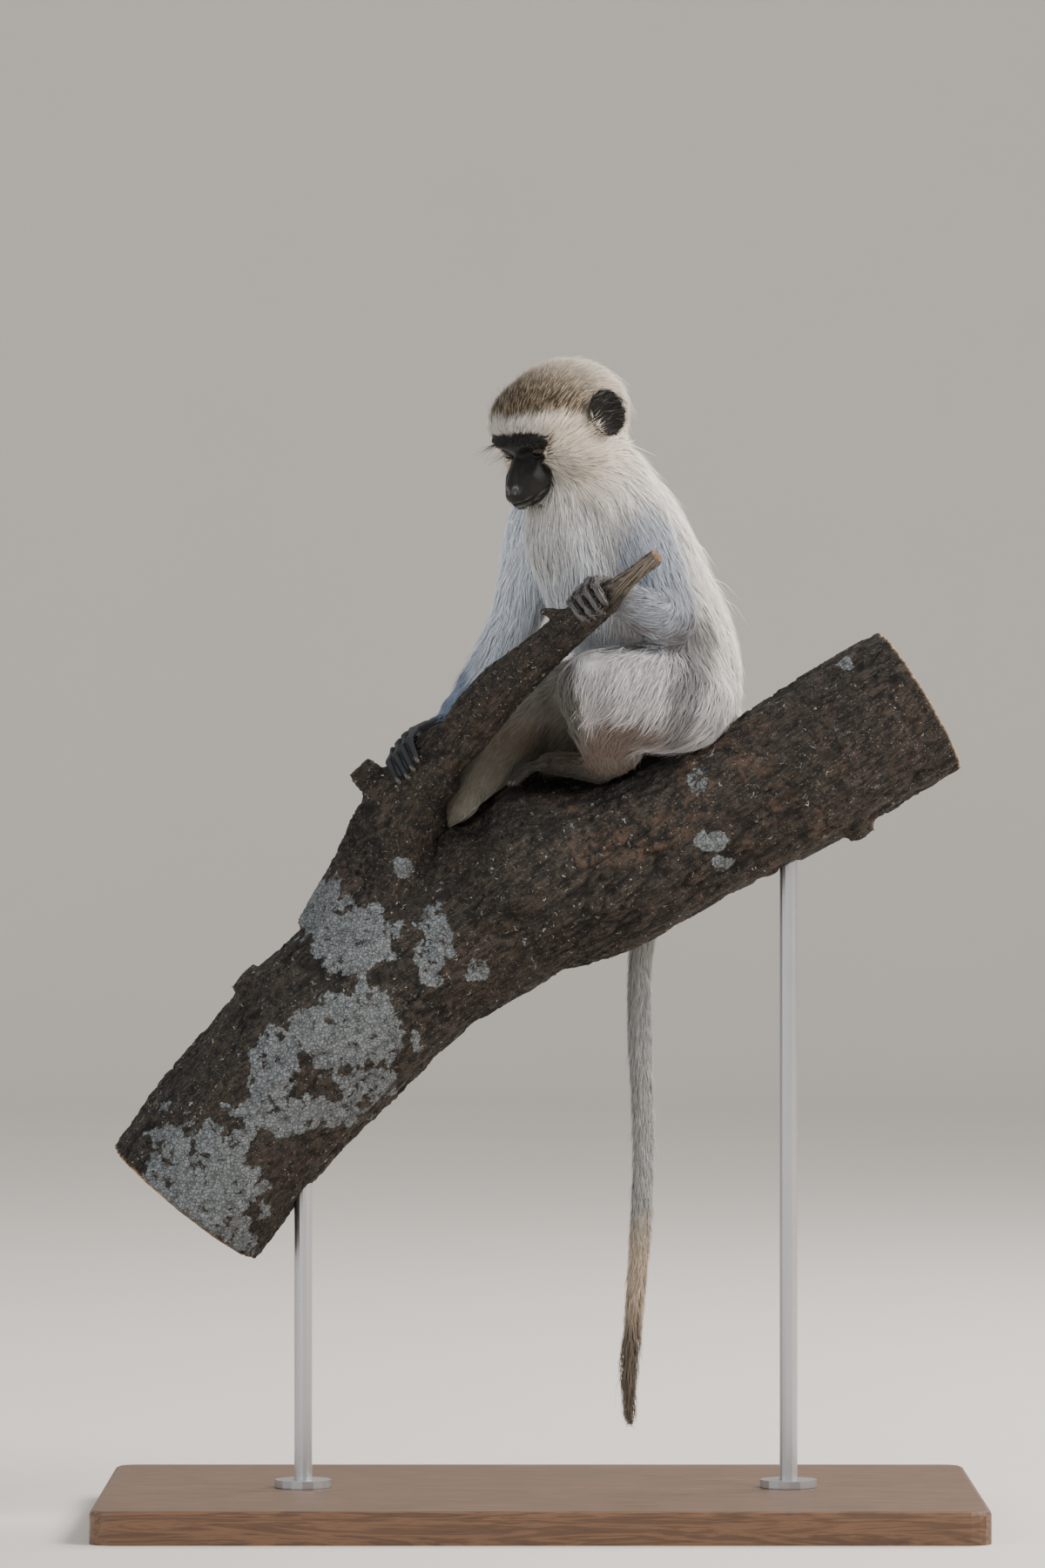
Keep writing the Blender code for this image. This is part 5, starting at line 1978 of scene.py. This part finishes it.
    def mesh(
        self, piece: CoatPiece, spine: list[Rows], tops: list[Rows],
        width: Rows, uvs: Rows, tints: Rows, rng: Chance,
    ) -> Object:
        """Joins the locks as one mesh of three-sided tapers.

        Args:
            piece: what they belong to.
            spine: the middle of each ring, root first, and the tip last.
            tops: the skin's normals there.
            width: each lock's breadth.
            uvs: its place on the unfolded skin.
            tints: its colour.
            rng: where its strands' pattern starts.

        Returns:
            The finished piece.
        """
        count, rings = len(width), len(self.ring_widths)
        size = rings * 3 + 1
        rows = np.empty((count, size, 3))
        across, travelled = np.zeros(size), np.zeros(size)
        for k in range(rings):
            run = unit(spine[k + 1] - spine[max(k - 1, 0)])
            side = unit(np.cross(run, tops[k]))
            lift = np.cross(side, run)
            half = (width * self.ring_widths[k] / 2)[:, None]
            rows[:, 3 * k] = spine[k] - side * half
            rows[:, 3 * k + 1] = spine[k] + side * half
            rows[:, 3 * k + 2] = spine[k] + lift * half * 2 * self.thickness
            across[3 * k : 3 * k + 3] = (-0.5, 0.5, 0.0)
            travelled[3 * k : 3 * k + 3] = self.ring_places[k]
        rows[:, -1] = spine[-1]
        travelled[-1] = 1.0
        faces = np.array(self.faces(rings))
        corners = (np.arange(count)[:, None, None] * size + faces[None]).reshape(-1)
        mesh = bpy.data.meshes.new(piece.name)
        mesh.vertices.add(count * size)
        mesh.vertices.foreach_set("co", rows.astype(np.float32).ravel())
        total = count * len(faces)
        mesh.loops.add(total * 3)
        mesh.loops.foreach_set("vertex_index", corners.astype(np.int32))
        mesh.polygons.add(total)
        mesh.polygons.foreach_set("loop_start", np.arange(0, total * 3, 3, dtype=np.int32))
        mesh.polygons.foreach_set("use_smooth", np.ones(total, bool))
        mesh.update(calc_edges=True)
        ground = np.stack([tops[min(k // 3, rings)] for k in range(size)], axis=1)
        mix = normals_of(mesh) * (1 - self.ground_share) + ground.reshape(-1, 3) * self.ground_share
        mesh.normals_split_custom_set_from_vertices(unit(mix).tolist())
        patch = np.stack([across, travelled - 0.5], axis=1) * self.patch
        layer = mesh.uv_layers.new(name="OFBake")
        spots = (uvs[:, None, :] + patch[None]).reshape(-1, 2)
        layer.uv.foreach_set("vector", spots[corners].astype(np.float32).ravel())
        write_colour(mesh, "tint", np.repeat(tints, size, axis=0))
        start = rng.random(count)[:, None] * 60
        strand = np.stack(np.broadcast_arrays(across[None] + start, travelled[None], start), axis=2)
        write_vector(mesh, "strand", strand.reshape(-1, 3))
        mesh.materials.append(bpy.data.materials.get("hair") or LockFinish("hair").material())
        return finished(placed(piece.name, mesh), "coat")

    @staticmethod
    def faces(rings: int) -> list[tuple[int, int, int]]:
        """The triangles of one lock, with its root closed.

        Args:
            rings: how many rings it has below its tip.

        Returns:
            Three corners a triangle.
        """
        found = [(0, 1, 2)]
        for k in range(rings - 1):
            a, b, c = 3 * k, 3 * k + 1, 3 * k + 2
            for first, second in ((b, a), (c, b), (a, c)):
                found += [(second, second + 3, first + 3), (second, first + 3, first)]
        a, b, c, tip = 3 * rings - 3, 3 * rings - 2, 3 * rings - 1, 3 * rings
        return found + [(a, tip, b), (b, tip, c), (c, tip, a)]


# ---------------- bristles


@dataclass
class Bristles:
    """Long stiff black hairs that stand out over the brows and, fewer, beside the muzzle."""

    skin: Object
    brow_count: int = 90
    cheek_count: int = 40
    pale_count: int = 90
    radius: float = 0.10 * MM
    steps: int = 5
    black: float = 0.012
    pale: float = 0.55

    def build(self) -> Object:
        """Makes them all as one piece.

        Returns:
            The finished piece.
        """
        rng = np.random.default_rng(5)
        tree = tree_of(self.skin)
        hairs = []
        for _ in range(self.brow_count):
            side = rng.uniform(-25, 25)
            place = (44.0, side, 16.0 - 0.012 * side * side + rng.normal(0, 1.3))
            way = (1.0, side / 16 + rng.normal(0, 0.30), 0.10 + rng.normal(0, 0.30))
            hairs.append((place, way, rng.uniform(5, 11 + 0.25 * abs(side)), self.black))
        for _ in range(self.cheek_count):
            sign = rng.choice((-1, 1))
            place = (36.0 + rng.normal(0, 3), sign * 22, rng.uniform(-12, 4))
            way = (0.6, sign * 0.9, rng.normal(-0.1, 0.3))
            hairs.append((place, way, rng.uniform(7, 15), self.black))
        # pale hairs, most of them on the right cheek, the side turned away: partly the cheek's own white
        # hair, partly painted backlight
        for _ in range(self.pale_count):
            sign = rng.choice((-1, 1), p=(0.7, 0.3))
            place = (30.0 + rng.normal(0, 4), sign * 26, rng.uniform(-22, 2))
            way = (0.45, sign, rng.normal(-0.15, 0.35))
            hairs.append((place, way, rng.uniform(7, 14), self.pale))
        mesh = bpy.data.meshes.new("brow_bristles")
        work = bmesh.new()
        for place, way, length, _tone in hairs:
            self.hair(work, tree, place, way, length, rng)
        work.to_mesh(mesh)
        work.free()
        obj = placed("brow_bristles", mesh)
        tones = np.repeat([tone for *_rest, tone in hairs], self.steps * 3 + 1)
        write_colour(mesh, "tint", np.repeat(tones[:, None], 3, axis=1))
        write_vector(mesh, "strand", np.tile([0.0, 1.0, 0.0], (len(tones), 1)))
        dress(obj, bpy.data.materials["hair"])
        return finished(obj, "coat")

    def hair(
        self, work: bmesh.types.BMesh, tree: BVHTree, place: Place, way: Place, length: float, rng: Chance
    ) -> None:
        """Adds one tapered hair that droops a little towards its tip.

        Args:
            work: the mesh so far.
            tree: the skin.
            place: about where it grows, on the head's axes.
            way: where it points, on the head's axes.
            length: its length in millimetres.
            rng: where its bend comes from.
        """
        root = tree.find_nearest(Vector(HEAD.outside(np.array([place]))[0]))[0]
        run = Vector(unit(np.array(way)) @ HEAD.rows())
        bend = Vector(rng.normal(0, 0.12, 3)) + Vector((0, 0, -0.25))
        rings = []
        for k in range(self.steps):
            t = k / self.steps
            middle = root + (run * t + bend * t * t) * length * MM
            side = run.orthogonal().normalized() * self.radius * (1 - 0.75 * t)
            turns = [Matrix.Rotation(turn * math.tau / 3, 3, run) for turn in range(3)]
            rings.append([work.verts.new(middle + turn @ side) for turn in turns])
        tip = work.verts.new(root + (run + bend) * length * MM)
        work.faces.new(rings[0][::-1])
        for low, high in zip(rings, rings[1:]):
            for turn in range(3):
                after = (turn + 1) % 3
                work.faces.new((low[turn], low[after], high[after], high[turn]))
        for turn in range(3):
            work.faces.new((rings[-1][turn], rings[-1][(turn + 1) % 3], tip))


# ---------------- the perch


LICHEN = (
    (-149, 410, 21, 21, 1.0),
    (-122, 388, 30, 22, 0.95),
    (-71, 387, 13, 32, 0.8),
    (-125, 328, 42, 28, 0.95),
    (-177, 306, 18, 26, 0.95),
    (-115, 292, 22, 14, 0.8),
    (-160, 273, 46, 13, 0.9),
    (-42, 367, 8, 8, 0.9),
    (-90, 435, 7, 7, 0.9),
    (115, 453, 15, 8, 0.9),
    (122, 436, 8, 6, 0.9),
    (103, 494, 9, 11, 0.7),
    (203, 572, 7, 5, 0.9),
    (-228, 214, 46, 62, 0.9),
    (5, 330, 16, 9, 0.6),
)


@dataclass
class Perch:
    """The cut limb with its side branch: cracked bark, knots, crusts of lichen and sawn ends."""

    voxel: float = 2.2 * MM
    plate: float = 11 * MM
    crack_depth: float = 1.5 * MM
    fine_depth: float = 2.2 * MM
    swellings: tuple[tuple[Place, Place, float], ...] = (
        ((22, 14, 490), (24, 16, 22), 10.0),
        ((-5, 14, 486), (18, 16, 20), 13.0),
        ((-44, -24, 464), (14, 24, 20), -15.0),
        ((-70, 2, 470), (14, 22, 24), 6.0),
        ((-60, -18, 491), (9, 13, 13), 6.0),
        ((-69, -4, 464), (8, 12, 10), 4.5),
    )
    limb_ends: tuple[Place, Place] = ((-238, 4, 212), (254, 3, 547))
    branch_ends: tuple[Place, Place] = ((-110, -3, 427), (77, -108, 640.5))

    def build(self) -> Object:
        """Makes the perch.

        Returns:
            The finished piece.
        """
        wood = self.joined()
        self.swell(wood.data)
        rows = points_of(wood.data)
        ends = [np.array(pair, float) * MM for pair in (self.limb_ends, self.branch_ends)]
        branch = self.branch_share(rows, ends[1])
        grain = self.grain(rows, ends, branch)
        sawn, spread = self.sawn(rows, normals_of(wood.data), ends)
        crack = self.cracks(grain)
        fine = Waves(3, 5 * MM).rough(grain, 3)
        broad = Waves(12, 26 * MM).at(rows)
        crack = crack * smooth_step(Waves(21, 38 * MM).rough(rows, 2), -0.25, 0.45)
        drop = crack * self.crack_depth * (1 - 0.35 * branch) + np.abs(fine) * self.fine_depth
        drop = drop + (0.5 - 0.5 * broad) * 0.8 * MM
        move_points(wood.data, rows - normals_of(wood.data) * (drop * (1 - 0.96 * sawn))[:, None])
        write_vector(wood.data, "grain", grain)
        lichen, peel = self.lichen(rows, normals_of(wood.data)), self.peel(rows, branch)
        names = ("crack", "sawn", "spread", "lichen", "red", "peel")
        for name, values in zip(names, (crack * (1 - sawn), sawn, spread, lichen, self.red(rows), peel)):
            write_number(wood.data, name, values)
        dress(wood, BarkFinish().material())
        return finished(wood, "bark", "perch_limb", "perch_branch")

    def joined(self) -> Object:
        """Joins limb and branch.

        Returns:
            One closed mesh of even fineness.
        """
        copies = [copy_of_node(name) for name in ("perch_limb", "perch_branch")]
        for copy in copies:
            move_points(copy.data, points_of(copy.data) + normals_of(copy.data) * 0.35 * MM)
        wood = joined_as("perch", copies, self.voxel)
        apply_modifier(wood, "SMOOTH", factor=0.5, iterations=6)
        return wood

    def swell(self, mesh: Mesh) -> None:
        """Raises low swellings on the wood behind the feet.

        Args:
            mesh: the wood.
        """
        rows = points_of(mesh)
        total = np.zeros(len(rows))
        for place, spread, rise in self.swellings:
            total += rise * MM * bell(rows / MM, place, spread)
        move_points(mesh, rows + normals_of(mesh) * total[:, None])

    @staticmethod
    def branch_share(rows: Rows, ends: Rows) -> Rows:
        """1 on the side branch and 0 on the limb."""
        t, away = beside(rows, *ends)
        return smooth_step(np.linalg.norm(away, axis=1), 60 * MM, 42 * MM) * smooth_step(t, 0.0, 0.12)

    @staticmethod
    def grain(rows: Rows, ends: list[Rows], branch: Rows) -> Rows:
        """Each point as its way along the wood and two ways across it.

        Args:
            rows: the points.
            ends: the two ends of limb and branch.
            branch: 1 on the branch and 0 on the limb.

        Returns:
            Rows of along, across and across.
        """
        turned = []
        for start, end in ends:
            along = unit(end - start)
            side = unit(np.cross(along, np.array([0.0, 1.0, 0.0])))
            turned.append(rows @ np.array([along * 0.4, side, np.cross(along, side)]).T)
        return mixed(turned[0], turned[1], branch)

    def cracks(self, grain: Rows) -> Rows:
        """Finds the cracks between the plates of bark.

        Args:
            grain: the points along and across the wood.

        Returns:
            1 in the cracks and 0 on the plates.
        """
        waves = np.stack([Waves(k, self.plate).rough(grain, 2) for k in (1, 4, 7)], axis=1)
        bent = grain + 0.45 * self.plate * waves
        found = np.empty(len(grain))
        for k, row in enumerate(bent / self.plate):
            near = noise.voronoi(Vector(row))[0]
            found[k] = near[1] - near[0]
        return smooth_step(found, 0.20, 0.02)

    @staticmethod
    def sawn(rows: Rows, normals: Rows, ends: list[Rows]) -> tuple[Rows, Rows]:
        """Where the wood is cut across, and how far out from its middle each point there is.

        Args:
            rows: the points.
            normals: the surface's normals.
            ends: the two ends of limb and branch.

        Returns:
            1 on a cut end, and from 0 in its middle to 1 at its edge.
        """
        sawn, spread = np.zeros(len(rows)), np.zeros(len(rows))
        for (start, end), radius, both in ((ends[0], 60 * MM, True), (ends[1], 9 * MM, False)):
            along = unit(end - start)
            for tip, way in ((end, 1), (start, -1)) if both else ((end, 1),):
                arm = rows - tip
                gap = np.linalg.norm(arm - (arm @ along)[:, None] * along, axis=1)
                facing = smooth_step(normals @ along * way, 0.70, 0.90)
                mark = facing * smooth_step(np.linalg.norm(arm, axis=1), 1.7 * radius, 1.4 * radius)
                sawn = np.maximum(sawn, mark)
                spread = np.where(mark > 0, gap / radius, spread)
        return sawn, spread

    @staticmethod
    def lichen(rows: Rows, normals: Rows) -> Rows:
        """How freely lichen grows, from 0 to 1: in lobed patches, most of them on the lower limb's front.

        Args:
            rows: the points.
            normals: the surface's normals.

        Returns:
            One value a point.
        """
        place = rows / MM
        lobes = 0.30 * Waves(60, 9 * MM).rough(rows, 3)
        total = 0.16 + 0.10 * Waves(61, 60 * MM).at(rows)
        for east, height, half, rise, strength in LICHEN:
            gap = np.hypot((place[:, 0] - east) / half, (place[:, 2] - height) / rise) + lobes
            gap = gap + 0.5 * smooth_step(normals[:, 1], 0.2, 0.6)
            total = np.maximum(total, strength * smooth_step(gap, 1.15, 0.85))
        return total

    def peel(self, rows: Rows, branch: Rows) -> Rows:
        """Where the side branch has lost its bark towards its end.

        Args:
            rows: the points.
            branch: 1 on the branch and 0 on the limb.

        Returns:
            From 0 to 1 at each point.
        """
        end = np.array(self.branch_ends[1]) * MM
        gap = np.linalg.norm(rows - end, axis=1) + 5 * MM * Waves(77, 6 * MM).rough(rows, 2)
        return smooth_step(gap, 40 * MM, 30 * MM) * smooth_step(branch, 0.2, 0.6)

    @staticmethod
    def red(rows: Rows) -> Rows:
        """Where the bark has worn to reddish wood, from 0 to 1."""
        return 0.25 + 0.75 * smooth_step(egg(rows / MM, (120, -50, 470), (120, 60, 60)), 1.3, 0.5)


# ---------------- the stand


@dataclass
class Stand:
    """The walnut base, steel rods and flanges, which keep their solids and get their finishes."""

    wood_nodes: tuple[str, ...] = ("stand_base",)
    steel_nodes: tuple[str, ...] = tuple(
        f"stand_{part}_{side}" for part in ("rod", "flange") for side in ("left", "right")
    )

    def build(self) -> None:
        """Dresses the stand."""
        wood, steel = BaseWoodFinish().material(), SteelFinish().material()
        for names, finish, slot in ((self.wood_nodes, wood, "base_wood"), (self.steel_nodes, steel, "steel")):
            for name in names:
                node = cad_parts[name]
                for entry in node.material_slots:
                    entry.material = finish


# ---------------- studio


@dataclass(frozen=True)
class Lamp:
    """One soft light: where it is, where it looks, its size in metres, its strength and colour."""

    name: str
    place: Place
    aim: Place
    size: float
    power: float
    colour: Colour


@dataclass
class Studio:
    """The camera, a pale floor and soft lights."""

    camera_place: Place = (-0.0116, -5.0, 0.4913)
    lens: float = 172.0
    sensor: float = 36.0
    floor_reach: float = 9.0
    flat_reach: float = 6.5
    sweep: float = 1.5
    wall: float = 7.0
    lamps: tuple[Lamp, ...] = (
        Lamp("key", (2.5, -1.3, 2.7), (0.03, 0.0, 0.6), 1.5, 150.0, (1.0, 0.96, 0.91)),
        Lamp("fill", (-2.6, -2.6, 1.5), (0.0, 0.0, 0.5), 2.4, 44.0, (0.88, 0.94, 1.0)),
        Lamp("rim", (2.1, 1.5, 2.3), (0.03, 0.0, 0.6), 1.8, 100.0, (1.0, 0.98, 0.95)),
    )
    sky: Colour = (0.86, 0.87, 0.88)
    sky_strength: float = 0.70

    def build(self) -> None:
        """Sets the studio up."""
        self.camera()
        self.floor()
        for lamp in self.lamps:
            self.light(lamp)
        world = bpy.data.worlds.new("studio")
        world.use_nodes = True
        sky = world.node_tree.nodes["Background"]
        sky.inputs["Color"].default_value = (*self.sky, 1.0)
        sky.inputs["Strength"].default_value = self.sky_strength
        bpy.context.scene.world = world

    def camera(self) -> None:
        """Adds the camera, level and straight at the front."""
        data = bpy.data.cameras.new("camera")
        data.sensor_fit = "VERTICAL"
        data.sensor_height = self.sensor
        data.lens = self.lens
        data.clip_end = 50.0
        obj = placed("camera", data)
        obj.location = self.camera_place
        obj.rotation_euler = (math.radians(90), 0, 0)
        bpy.context.scene.camera = obj

    def floor(self) -> None:
        """Adds the floor, which curves up far behind."""
        mesh = bpy.data.meshes.new("floor")
        work = bmesh.new()
        reach, flat, sweep = self.floor_reach, self.flat_reach, self.sweep
        profile = [(-reach, 0.0), (flat, 0.0)]
        for angle in np.linspace(0.1, math.pi / 2, 12):
            profile.append((flat + math.sin(angle) * sweep, sweep - math.cos(angle) * sweep))
        profile.append((flat + sweep, self.wall))
        rows = [[work.verts.new((x, y, z)) for x in (-reach, reach)] for y, z in profile]
        for low, high in zip(rows, rows[1:]):
            work.faces.new((low[0], low[1], high[1], high[0]))
        work.to_mesh(mesh)
        work.free()
        mesh.materials.append(FloorFinish().material())
        mesh.polygons.foreach_set("use_smooth", [True] * len(mesh.polygons))
        placed("floor", mesh)

    @staticmethod
    def light(lamp: Lamp) -> None:
        """Adds one soft light.

        Args:
            lamp: what it is.
        """
        data = bpy.data.lights.new(lamp.name, "AREA")
        data.energy, data.size, data.color = lamp.power, lamp.size, lamp.colour
        obj = placed(lamp.name, data)
        obj.location = lamp.place
        obj.rotation_euler = (Vector(lamp.aim) - Vector(lamp.place)).to_track_quat("-Z", "Y").to_euler()


def main() -> None:
    """Builds the studio, the stand, the perch and the animal, in that order."""
    logging.basicConfig(level=logging.INFO, format="%(name)s %(relativeCreated)d %(message)s")
    Studio().build()
    Stand().build()
    Perch().build()
    skin = Skin().build()
    Eyes().build()
    Nails(skin).build()
    Coat(skin).build()
    Bristles(skin).build()


if __name__ == "__main__":
    main()
